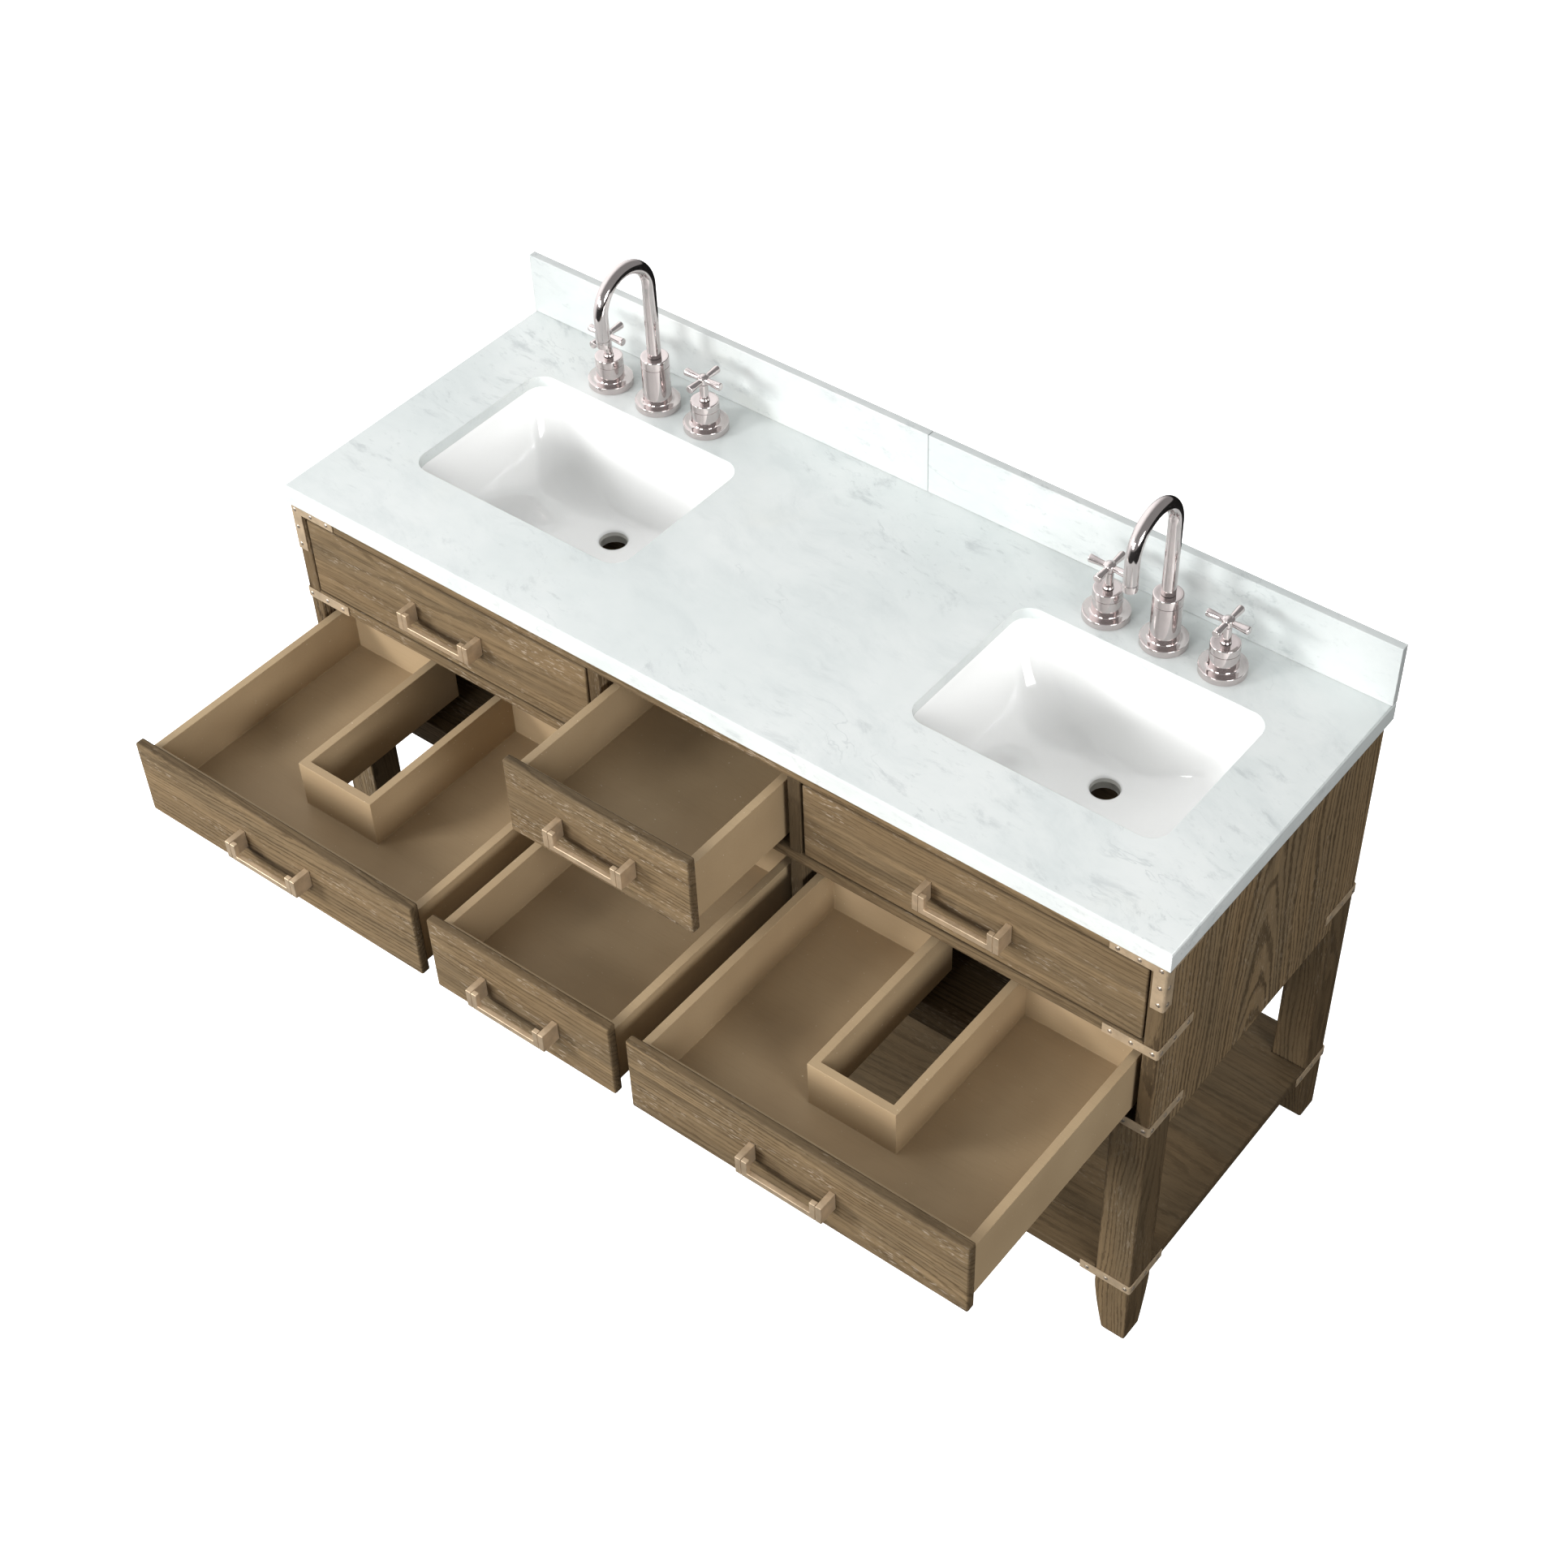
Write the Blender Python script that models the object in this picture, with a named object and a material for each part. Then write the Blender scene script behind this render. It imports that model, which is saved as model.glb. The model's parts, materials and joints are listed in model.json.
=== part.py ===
"""Double bathroom vanity: oak cabinet on legs, marble top, two bowls, two taps and four open drawers.

Units are metres, +Z is up and the floor is Z = 0. The wall stands behind the part at +Y and the
drawers pull out towards -Y. Everything is laid out from the wall plane, and centred at the end,
so that the origin is under the middle of the whole footprint with the drawers as they stand.
"""

import math

import bmesh
import bpy
from mathutils import Matrix, Vector

# Shared clearance between neighbouring pieces.
GAP = 0.0003

# Marble top and backsplash.
TOP_WIDTH = 1.524
TOP_DEPTH = 0.5588
TOP_HEIGHT = 0.856
TOP_EDGE = 0.032
TOP_CHAMFER = 0.003
STONE_AT_BOWL = 0.019
SPLASH_HEIGHT = 0.1016
SPLASH_THICK = 0.0135

# Bowls: the cut-out in the stone, the pocket under it and the bowl's own depths.
BOWL_X = 0.449
BOWL_Y = -0.271
CUTOUT = (0.399, 0.280)
CUTOUT_RADIUS = 0.030
POCKET = (0.440, 0.321)
POCKET_RADIUS = 0.045
BOWL_FLANGE = (0.434, 0.315)
BOWL_WALL = 0.009
BOWL_DEPTH = 0.161
DRAIN_RADIUS = 0.022
DRAIN_Y = 0.061
DRAIN_LENGTH = 0.022

# Cabinet body.
BODY_WIDTH = 1.511
BODY_FRONT = -0.555
BODY_BACK = -0.009
SIDE_THICK = 0.022
DIVIDER_THICK = 0.0207
DIVIDER_X = 0.17485
RAIL_DEPTH = 0.020
TOP_RAIL_LOW = 0.8065
MID_RAIL = (0.6475, 0.6675)
LOW_RAIL = (0.4560, 0.5040)
FLOOR_BOARD = (0.4903, 0.5010)
BACK_THICK = 0.012
BACK_HOLE = (0.240, 0.130)
BACK_HOLE_Z = 0.595

# Legs and shelf.
LEG = 0.058
LEG_TOP = 0.490
FOOT_TAPER = ((0.0, 0.0185), (0.027, 0.0135), (0.078, 0.003), (0.104, 0.0))
SHELF = (0.1212, 0.1401)

# Drawer and false fronts.
FRONT_THICK = 0.015
SIDE_FRONT_X = 0.46005
SIDE_FRONT_WIDTH = 0.5415
CENTRE_FRONT_WIDTH = 0.3214
UPPER_FRONT = (0.6700, 0.8040)
LOWER_FRONT = (0.5085, 0.6420)
OPEN_LOWER = 0.375
OPEN_UPPER = 0.200

# Drawer boxes.
BOX_LENGTH = 0.411
BOX_INSET = 0.0063
BOX_WALL = 0.013
BOX_RAISE = 0.011
BOX_DROP = 0.020
BOX_FLOOR = 0.022
BOX_RECESS = 0.013
NOTCH_HALF = 0.058
NOTCH_FRONT = 0.135

# Pulls.
PULL_LENGTH = 0.137
PULL_HEIGHT = 0.031
PULL_REACH = 0.0305
PULL_POST = 0.009
PULL_BLOCK = 0.010
PULL_BAR_DEPTH = 0.008
PULL_BAR_HEIGHT = 0.0097
PULL_GROOVE = 0.0008

# Bronze straps at the corners.
STRAP_THICK = 0.0019
STRAP_ARM = 0.085
STRAP_HEIGHT = 0.017
STRAP_BEND = 0.0018
BRACKET_LOW = 0.742
BRACKET_ARM_LOW = 0.8095
MID_STRAP_LOW = 0.6480
LOW_STRAP_LOW = 0.4873
SHELF_STRAP_LOW = 0.1203
RIVET_RADIUS = 0.003
RIVET_HEIGHT = 0.0011
RIVET_FIRST = 0.0088
RIVET_PITCH = 0.032

# Taps.
TAP_Y = -0.085
VALVE_SPREAD = 0.0935
FLANGE_RADIUS = 0.035
FLANGE_THICK = 0.0115
COLUMN_RADIUS = 0.0215
VALVE_HEIGHT = 0.050
COLLAR_HEIGHT = 0.088
STEM_RADIUS = 0.0065
HANDLE_LOW = VALVE_HEIGHT + 0.0005
HANDLE_Z = 0.086
SPOKE_LENGTH = 0.033
SPOKE_RADIUS = 0.0060
HUB_RADIUS = 0.009
PIPE_RADIUS = 0.0105
ARCH_RADIUS = 0.0525
ARCH_CENTRE = 0.212
SPOUT_TIP = 0.165

# Round shapes are built with these numbers of sides.
ROUND_SIDES = 18
PIPE_SIDES = 12
RIVET_SIDES = 6
SPOKE_SIDES = 8
ARCH_STEPS = 10
CORNER_STEPS = 4

HALF_BODY = BODY_WIDTH / 2
TOP_UNDER = TOP_HEIGHT - TOP_EDGE
DECK = TOP_HEIGHT + GAP
Y_ORIGIN = (OPEN_LOWER - BODY_FRONT + PULL_REACH) / 2

FAMILIES = {
    "marble": ((0.80, 0.82, 0.82), 0.15, 0.0),
    "ceramic": ((0.88, 0.88, 0.87), 0.08, 0.0),
    "oak": ((0.20, 0.15, 0.10), 0.55, 0.0),
    "box": ((0.32, 0.25, 0.17), 0.60, 0.0),
    "bronze": ((0.42, 0.31, 0.22), 0.35, 1.0),
    "nickel": ((0.78, 0.73, 0.71), 0.12, 1.0),
}


def clear_scene():
    """Take away whatever the start-up scene holds."""
    for obj in list(bpy.data.objects):
        bpy.data.objects.remove(obj)


def paint(obj, family):
    """Give the object its own material of one family."""
    colour, roughness, metallic = FAMILIES[family]
    material = bpy.data.materials.new(obj.name)
    material.use_nodes = True
    shader = material.node_tree.nodes["Principled BSDF"]
    shader.inputs["Base Color"].default_value = (*colour, 1.0)
    shader.inputs["Roughness"].default_value = roughness
    shader.inputs["Metallic"].default_value = metallic
    obj.data.materials.append(material)


def set_origin(obj, point):
    """Move the object's origin to a point, and leave its shape where it is."""
    offset = Vector(point)
    obj.data.transform(Matrix.Translation(-offset))
    obj.location = offset


def hold(child, parent):
    """Parent an object, and leave it where it is."""
    child.parent = parent
    child.location -= parent.location


def smooth(obj):
    """Shade a round piece smooth, with its edges kept sharp."""
    obj.data.shade_smooth()
    obj.data.set_sharp_from_angle(angle=math.radians(40))


def add_mesh(name, vertices, faces, family=None):
    """Make one closed mesh with its faces turned outwards. Without a family it is a hidden cutter."""
    mesh = bpy.data.meshes.new(name)
    mesh.from_pydata(vertices, [], faces)
    work = bmesh.new()
    work.from_mesh(mesh)
    bmesh.ops.recalc_face_normals(work, faces=work.faces)
    work.to_mesh(mesh)
    work.free()
    obj = bpy.data.objects.new(name, mesh)
    bpy.context.scene.collection.objects.link(obj)
    if family is None:
        obj.hide_render = True
        obj.display_type = "WIRE"
    else:
        paint(obj, family)
    return obj


def add_rings(name, rings, family=None, torus=False):
    """Skin a row of rings with equally many points. A torus joins the last ring to the first."""
    count = len(rings[0])
    vertices = [point for ring in rings for point in ring]
    pairs = len(rings) if torus else len(rings) - 1
    faces = []
    for level in range(pairs):
        low = level * count
        high = (level + 1) % len(rings) * count
        for side in range(count):
            after = (side + 1) % count
            faces.append((low + side, low + after, high + after, high + side))
    if not torus:
        faces.append(tuple(range(count)))
        faces.append(tuple(range(len(vertices) - count, len(vertices))))
    return add_mesh(name, vertices, faces, family)


def add_prism(name, outline, axis, start, end, family=None):
    """Extrude an outline along one axis. The outline holds the other two coordinates in order."""
    turn = {
        "X": lambda a, b, depth: (depth, a, b),
        "Y": lambda a, b, depth: (a, depth, b),
        "Z": lambda a, b, depth: (a, b, depth),
    }[axis]
    rings = [[turn(a, b, depth) for a, b in outline] for depth in (start, end)]
    return add_rings(name, rings, family)


def add_box(name, low, high, family=None):
    """Make a plain box between two corners."""
    outline = [
        (low[0], low[1]),
        (high[0], low[1]),
        (high[0], high[1]),
        (low[0], high[1]),
    ]
    return add_prism(name, outline, "Z", low[2], high[2], family)


def circle(x, y, z, radius, sides=ROUND_SIDES):
    """Points of a level circle."""
    turns = [2 * math.pi * (side + 0.5) / sides for side in range(sides)]
    return [(x + radius * math.cos(t), y + radius * math.sin(t), z) for t in turns]


def add_turned(name, x, y, profile, family):
    """Make a turned solid from (radius, height) pairs, from its foot to its top."""
    rings = [circle(x, y, height, radius) for radius, height in profile]
    turned = add_rings(name, rings, family)
    set_origin(turned, (x, y, profile[0][1]))
    smooth(turned)
    return turned


def rounded_rectangle(x, y, size, radius, steps=CORNER_STEPS):
    """Outline of a rectangle with round corners, centred on x and y."""
    half_x = size[0] / 2 - radius
    half_y = size[1] / 2 - radius
    points = []
    for corner, (sign_x, sign_y) in enumerate(((1, 1), (-1, 1), (-1, -1), (1, -1))):
        for step in range(steps + 1):
            turn = math.pi / 2 * (corner + step / steps)
            points.append(
                (
                    x + sign_x * half_x + radius * math.cos(turn),
                    y + sign_y * half_y + radius * math.sin(turn),
                )
            )
    return points


def apply_boolean(obj, tool, operation):
    """Cut or join with an exact Boolean. The tool goes where the object goes."""
    hold(tool, obj)
    step = obj.modifiers.new(tool.name, "BOOLEAN")
    step.operation = operation
    step.solver = "EXACT"
    step.object = tool


def build_countertop():
    """Marble slab with a chamfered upper edge, two cut-outs and a pocket under each."""
    levels = (
        (TOP_UNDER, 0.0),
        (TOP_HEIGHT - TOP_CHAMFER, 0.0),
        (TOP_HEIGHT, TOP_CHAMFER),
    )
    rings = []
    for height, inset in levels:
        side = TOP_WIDTH / 2 - inset
        front = -TOP_DEPTH + inset
        rings.append(
            [
                (-side, front, height),
                (side, front, height),
                (side, 0.0, height),
                (-side, 0.0, height),
            ]
        )
    slab = add_rings("countertop", rings, "marble")
    for sign, side in ((-1, "left"), (1, "right")):
        hole = rounded_rectangle(sign * BOWL_X, BOWL_Y, CUTOUT, CUTOUT_RADIUS)
        low = TOP_UNDER - 0.01
        cutter = add_prism("cut_hole_" + side, hole, "Z", low, TOP_HEIGHT + 0.01)
        apply_boolean(slab, cutter, "DIFFERENCE")
        pocket = rounded_rectangle(sign * BOWL_X, BOWL_Y, POCKET, POCKET_RADIUS)
        high = TOP_HEIGHT - STONE_AT_BOWL
        cutter = add_prism("cut_pocket_" + side, pocket, "Z", low, high)
        apply_boolean(slab, cutter, "DIFFERENCE")


def build_backsplash():
    """Two upright marble strips that meet at the middle."""
    half = TOP_WIDTH / 2
    for name, low_x, high_x in (
        ("backsplash_left", -half, -GAP),
        ("backsplash_right", GAP, half),
    ):
        low = (low_x, -SPLASH_THICK, DECK)
        high = (high_x, 0.0, DECK + SPLASH_HEIGHT)
        add_box(name, low, high, "marble")


def build_bowl(name, x):
    """Rectangular undermount bowl that falls to a drain towards the back."""
    top = TOP_HEIGHT - STONE_AT_BOWL - GAP
    wall = BOWL_WALL
    # Height below the rim, width, depth, corner radius and shift towards the back.
    shape = (
        (0.000, CUTOUT[0] + 0.006, CUTOUT[1] + 0.006, 0.033, 0.000),
        (0.040, 0.386, 0.272, 0.040, 0.002),
        (0.090, 0.346, 0.244, 0.055, 0.008),
        (0.130, 0.270, 0.190, 0.060, 0.022),
        (0.152, 0.150, 0.120, 0.050, 0.045),
        (BOWL_DEPTH, 2 * DRAIN_RADIUS, 2 * DRAIN_RADIUS, 0.0219, DRAIN_Y),
        (BOWL_DEPTH + DRAIN_LENGTH, 2 * DRAIN_RADIUS, 2 * DRAIN_RADIUS, 0.0219, DRAIN_Y),
    )
    inner = []
    outer = []
    for drop, width, depth, radius, shift in shape:
        y = BOWL_Y + shift
        outline = rounded_rectangle(x, y, (width, depth), radius)
        inner.append([(a, b, top - drop) for a, b in outline])
        size = (width + 2 * wall, depth + 2 * wall)
        outline = rounded_rectangle(x, y, size, radius + wall)
        outer.append([(a, b, top - drop - wall) for a, b in outline])
    outer[-1] = [(a, b, top - BOWL_DEPTH - DRAIN_LENGTH) for a, b, _ in outer[-1]]
    flange = rounded_rectangle(x, BOWL_Y, BOWL_FLANGE, POCKET_RADIUS - 0.003)
    rim_top = [(a, b, top) for a, b in flange]
    rim_under = [(a, b, top - wall) for a, b in flange]
    rings = inner + outer[::-1] + [rim_under, rim_top]
    bowl = add_rings(name, rings, "ceramic", torus=True)
    smooth(bowl)


def tap_body(name, x, height):
    """Round flange with a ringed column on it."""
    column = COLUMN_RADIUS
    ring = DECK + height - 0.012
    profile = (
        (FLANGE_RADIUS, DECK),
        (FLANGE_RADIUS, DECK + 0.7 * FLANGE_THICK),
        (FLANGE_RADIUS - 0.003, DECK + FLANGE_THICK),
        (column, DECK + FLANGE_THICK + 0.001),
        (column, ring),
        (column - 0.0008, ring + 0.0006),
        (column, ring + 0.0012),
        (column, DECK + height - 0.002),
        (column - 0.002, DECK + height),
    )
    add_turned(name, x, TAP_Y, profile, "nickel")


def tap_handle(name, x):
    """Stem with a hub and four round spokes."""
    hub_low = DECK + HANDLE_Z - 0.008
    profile = (
        (STEM_RADIUS, DECK + HANDLE_LOW),
        (STEM_RADIUS, hub_low),
        (HUB_RADIUS, hub_low + 0.002),
        (HUB_RADIUS, hub_low + 0.014),
        (HUB_RADIUS - 0.003, hub_low + 0.016),
    )
    handle = add_turned(name, x, TAP_Y, profile, "nickel")
    tip = SPOKE_LENGTH
    radius = SPOKE_RADIUS
    stations = (
        (-tip, radius),
        (-tip + 0.014, radius * 0.8),
        (tip - 0.014, radius * 0.8),
        (tip, radius),
    )
    for label, along_x in (("x", True), ("y", False)):
        rings = []
        for place, size in stations:
            ring = []
            for a, b, _ in circle(0.0, 0.0, 0.0, size, SPOKE_SIDES):
                height = DECK + HANDLE_Z + b
                if along_x:
                    ring.append((x + place, TAP_Y + a, height))
                else:
                    ring.append((x + a, TAP_Y + place, height))
            rings.append(ring)
        bar = add_rings("join_" + name + "_" + label, rings)
        apply_boolean(handle, bar, "UNION")


def tap_spout(name, x):
    """Gooseneck pipe from the collar, over its arch and down to the tip."""
    path = [(TAP_Y, DECK + COLLAR_HEIGHT + GAP, 0.0)]
    for step in range(ARCH_STEPS + 1):
        turn = math.pi * step / ARCH_STEPS
        y = TAP_Y - ARCH_RADIUS + ARCH_RADIUS * math.cos(turn)
        z = DECK + ARCH_CENTRE + ARCH_RADIUS * math.sin(turn)
        path.append((y, z, turn))
    path.append((TAP_Y - 2 * ARCH_RADIUS, DECK + SPOUT_TIP, math.pi))
    rings = []
    for y, z, turn in path:
        ring = []
        for a, b, _ in circle(0.0, 0.0, 0.0, PIPE_RADIUS, PIPE_SIDES):
            ring.append((x + a, y + b * math.cos(turn), z + b * math.sin(turn)))
        rings.append(ring)
    spout = add_rings(name, rings, "nickel")
    set_origin(spout, (x, TAP_Y, DECK + COLLAR_HEIGHT + GAP))
    smooth(spout)


def build_taps():
    """A widespread tap behind each bowl: spout in the middle, hot left and cold right."""
    for sign, side in ((-1, "left"), (1, "right")):
        x = sign * BOWL_X
        tap_body("spout_base_" + side, x, COLLAR_HEIGHT)
        tap_spout("spout_" + side, x)
        for label, place in (("hot", x - VALVE_SPREAD), ("cold", x + VALVE_SPREAD)):
            tap_body(label + "_valve_" + side, place, VALVE_HEIGHT)
            tap_handle(label + "_handle_" + side, place)


def build_leg(name, sign_x, back):
    """Square leg, tapered at the foot on its two inner faces only."""
    outer_x = sign_x * HALF_BODY
    outer_y = BODY_BACK if back else BODY_FRONT
    sign_y = 1 if back else -1
    levels = [*FOOT_TAPER, (LEG_TOP, 0.0)]
    rings = []
    for height, inset in levels:
        inner_x = outer_x - sign_x * (LEG - inset)
        inner_y = outer_y - sign_y * (LEG - inset)
        rings.append(
            [
                (outer_x, outer_y, height),
                (inner_x, outer_y, height),
                (inner_x, inner_y, height),
                (outer_x, inner_y, height),
            ]
        )
    add_rings(name, rings, "oak")


def build_sides():
    """End panels whose front edge is the outer stile. Each drops between the legs to a lower band."""
    leg_front = BODY_FRONT + LEG + GAP
    leg_back = BODY_BACK - LEG - GAP
    foot = LEG_TOP + GAP
    high = TOP_UNDER - GAP
    outline = [
        (BODY_FRONT, foot),
        (leg_front, foot),
        (leg_front, LOW_RAIL[0]),
        (leg_back, LOW_RAIL[0]),
        (leg_back, foot),
        (BODY_BACK, foot),
        (BODY_BACK, high),
        (BODY_FRONT, high),
    ]
    for sign, side in ((-1, "left"), (1, "right")):
        outer = sign * HALF_BODY
        inner = sign * (HALF_BODY - SIDE_THICK)
        add_prism("side_panel_" + side, outline, "X", outer, inner, "oak")


def build_rails():
    """Top, middle and bottom rail across the front."""
    inside = HALF_BODY - SIDE_THICK - GAP
    between_legs = HALF_BODY - LEG - GAP
    rails = (
        ("top_rail", inside, TOP_RAIL_LOW, TOP_UNDER - GAP),
        ("middle_rail", inside, *MID_RAIL),
        ("bottom_rail", between_legs, *LOW_RAIL),
    )
    for name, reach, low, high in rails:
        back = BODY_FRONT + RAIL_DEPTH
        add_box(name, (-reach, BODY_FRONT, low), (reach, back, high), "oak")


def build_dividers():
    """Upright boards between the bays. Their front edges are the inner stiles, notched for the rails."""
    rail_back = BODY_FRONT + RAIL_DEPTH + GAP
    back = BODY_BACK - BACK_THICK - 2 * GAP
    outline = [
        (rail_back, FLOOR_BOARD[1] + GAP),
        (back, FLOOR_BOARD[1] + GAP),
        (back, TOP_UNDER - GAP),
        (rail_back, TOP_UNDER - GAP),
        (rail_back, TOP_RAIL_LOW - GAP),
        (BODY_FRONT, TOP_RAIL_LOW - GAP),
        (BODY_FRONT, MID_RAIL[1] + GAP),
        (rail_back, MID_RAIL[1] + GAP),
        (rail_back, MID_RAIL[0] - GAP),
        (BODY_FRONT, MID_RAIL[0] - GAP),
        (BODY_FRONT, LOW_RAIL[1] + GAP),
        (rail_back, LOW_RAIL[1] + GAP),
    ]
    for sign, side in ((-1, "left"), (1, "right")):
        low = sign * DIVIDER_X - DIVIDER_THICK / 2
        name = "divider_" + side
        add_prism(name, outline, "X", low, low + DIVIDER_THICK, "oak")


def build_floor_and_back():
    """Board under the drawers, and the back panel with an opening for each bowl's pipes."""
    inside = HALF_BODY - SIDE_THICK - GAP
    back = BODY_BACK - BACK_THICK
    front = BODY_FRONT + RAIL_DEPTH + GAP
    low = (-inside, front, FLOOR_BOARD[0])
    add_box("cabinet_floor", low, (inside, back - GAP, FLOOR_BOARD[1]), "oak")
    panel = add_box(
        "back_panel",
        (-inside, back, FLOOR_BOARD[0]),
        (inside, BODY_BACK, TOP_UNDER - GAP),
        "oak",
    )
    for sign, side in ((-1, "left"), (1, "right")):
        half = BACK_HOLE[0] / 2
        rise = BACK_HOLE[1] / 2
        cutter = add_box(
            "cut_pipes_" + side,
            (sign * BOWL_X - half, back - 0.01, BACK_HOLE_Z - rise),
            (sign * BOWL_X + half, BODY_BACK + 0.01, BACK_HOLE_Z + rise),
        )
        apply_boolean(panel, cutter, "DIFFERENCE")


def build_shelf():
    """Open lower shelf, notched at its four corners round the legs."""
    far = HALF_BODY
    near = HALF_BODY - LEG - GAP
    front = BODY_FRONT
    front_notch = BODY_FRONT + LEG + GAP
    back = BODY_BACK
    back_notch = BODY_BACK - LEG - GAP
    outline = [
        (-near, front),
        (near, front),
        (near, front_notch),
        (far, front_notch),
        (far, back_notch),
        (near, back_notch),
        (near, back),
        (-near, back),
        (-near, back_notch),
        (-far, back_notch),
        (-far, front_notch),
        (-near, front_notch),
    ]
    add_prism("shelf", outline, "Z", *SHELF, "oak")


def build_front(name, x, width, heights, face_y):
    """Flat front board, its face at face_y."""
    low = (x - width / 2, face_y, heights[0])
    high = (x + width / 2, face_y + FRONT_THICK, heights[1])
    return add_box(name, low, high, "oak")


def box_outline(x, half, front, back, notch, inset):
    """Plan of a drawer box, drawn in by inset. A notch leaves room for the bowl's pipes."""
    half -= inset
    front += inset
    back -= inset
    if not notch:
        return [
            (x - half, front),
            (x + half, front),
            (x + half, back),
            (x - half, back),
        ]
    side = NOTCH_HALF + inset
    notch_front = front - inset + NOTCH_FRONT - FRONT_THICK - inset
    return [
        (x - half, front),
        (x + half, front),
        (x + half, back),
        (x + side, back),
        (x + side, notch_front),
        (x - side, notch_front),
        (x - side, back),
        (x - half, back),
    ]


def build_box(name, x, width, heights, face_y, notch):
    """Drawer box: walls, a raised floor and the recess under it. Walls round a notch stop at the floor."""
    half = width / 2 - BOX_INSET
    front = face_y + FRONT_THICK + GAP
    back = front + BOX_LENGTH
    low = heights[0] + BOX_RAISE
    high = heights[1] - BOX_DROP
    outer = box_outline(x, half, front, back, notch, 0.0)
    inner = box_outline(x, half, front, back, notch, BOX_WALL)
    rings = [
        [(a, b, low + BOX_RECESS) for a, b in inner],
        [(a, b, low) for a, b in inner],
        [(a, b, low) for a, b in outer],
        [(a, b, high) for a, b in outer],
        [(a, b, high) for a, b in inner],
        [(a, b, low + BOX_FLOOR) for a, b in inner],
    ]
    box = add_rings(name, rings, "box")
    if notch:
        side = NOTCH_HALF + 2 * BOX_WALL
        notch_front = face_y + NOTCH_FRONT - 2 * BOX_WALL
        cutter = add_box(
            "cut_" + name,
            (x - side, notch_front, low - 0.01),
            (x + side, back + 0.01, low + BOX_RECESS),
        )
        apply_boolean(box, cutter, "DIFFERENCE")
    return box


def build_pull(name, x, heights, face_y):
    """Square bridge pull: two posts, a block inside each, and a bar across the lower half."""
    low = (heights[0] + heights[1]) / 2 - PULL_HEIGHT / 2
    high = low + PULL_HEIGHT
    back = face_y - GAP
    front = face_y - PULL_REACH
    bar_back = front + PULL_BAR_DEPTH
    half = PULL_LENGTH / 2
    post = half - PULL_POST
    block = post - PULL_BLOCK
    lip = front + PULL_GROOVE
    bar_top = low + PULL_BAR_HEIGHT
    plan = [
        (-half, back),
        (-half, front),
        (-post - PULL_GROOVE / 2, front),
        (-post, lip),
        (-post + PULL_GROOVE / 2, front),
        (post - PULL_GROOVE / 2, front),
        (post, lip),
        (post + PULL_GROOVE / 2, front),
        (half, front),
        (half, back),
        (post, back),
        (post, bar_back),
        (-post, bar_back),
        (-post, back),
    ]
    outline = [(x + a, b) for a, b in plan]
    pull = add_prism(name, outline, "Z", low, high, "bronze")
    cutter = add_box(
        "cut_" + name,
        (x - block, front - 0.01, bar_top),
        (x + block, bar_back + 0.01, high + 0.01),
    )
    apply_boolean(pull, cutter, "DIFFERENCE")
    return pull


def build_drawer(label, x, width, heights, face_y, notch):
    """Front, box and pull under one empty, which slides along Y."""
    slide = bpy.data.objects.new("slide_" + label, None)
    slide.location = (x, face_y, (heights[0] + heights[1]) / 2)
    bpy.context.scene.collection.objects.link(slide)
    hold(build_front("drawer_front_" + label, x, width, heights, face_y), slide)
    hold(build_box("drawer_box_" + label, x, width, heights, face_y, notch), slide)
    hold(build_pull("pull_drawer_" + label, x, heights, face_y), slide)


def build_fronts():
    """Two fixed fronts over the bowls, and four drawers standing open."""
    upper = UPPER_FRONT
    lower = LOWER_FRONT
    side = SIDE_FRONT_WIDTH
    centre = CENTRE_FRONT_WIDTH
    for sign, label in ((-1, "left"), (1, "right")):
        x = sign * SIDE_FRONT_X
        build_front("false_front_" + label, x, side, upper, BODY_FRONT)
        build_pull("pull_false_" + label, x, upper, BODY_FRONT)
    face_low = BODY_FRONT - OPEN_LOWER
    face_high = BODY_FRONT - OPEN_UPPER
    drawers = (
        ("left", -SIDE_FRONT_X, side, lower, face_low, True),
        ("right", SIDE_FRONT_X, side, lower, face_low, True),
        ("centre_upper", 0.0, centre, upper, face_high, False),
        ("centre_lower", 0.0, centre, lower, face_low, False),
    )
    for drawer in drawers:
        build_drawer(*drawer)


def strap_plan(sign_x, back, arm):
    """Plan of a thin strap bent round one corner of the body, its outer bend rounded."""
    inner_x = HALF_BODY + GAP
    outer_x = inner_x + STRAP_THICK
    face = BODY_BACK if back else BODY_FRONT
    sign_y = 1 if back else -1
    end_x = outer_x - arm
    bend = STRAP_BEND
    points = [
        (end_x, STRAP_THICK),
        (outer_x - bend, STRAP_THICK),
        (outer_x - 0.29 * bend, STRAP_THICK - 0.29 * bend),
        (outer_x, STRAP_THICK - bend),
        (outer_x, STRAP_THICK - arm),
        (inner_x, STRAP_THICK - arm),
        (inner_x, 0.0),
        (end_x, 0.0),
    ]
    return [(sign_x * a, face + sign_y * (b + GAP)) for a, b in points]


def rivet(x, y, z, along_x, sign):
    """Rings of one flat rivet head that stands out along X or Y."""
    rings = []
    for depth, radius in (
        (-STRAP_THICK / 2, RIVET_RADIUS),
        (RIVET_HEIGHT / 2, RIVET_RADIUS),
        (RIVET_HEIGHT, RIVET_RADIUS * 0.6),
    ):
        ring = []
        for a, b, _ in circle(0.0, 0.0, 0.0, radius, RIVET_SIDES):
            if along_x:
                ring.append((x + sign * depth, y + a, z + b))
            else:
                ring.append((x + a, y + sign * depth, z + b))
        rings.append(ring)
    return rings


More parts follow.
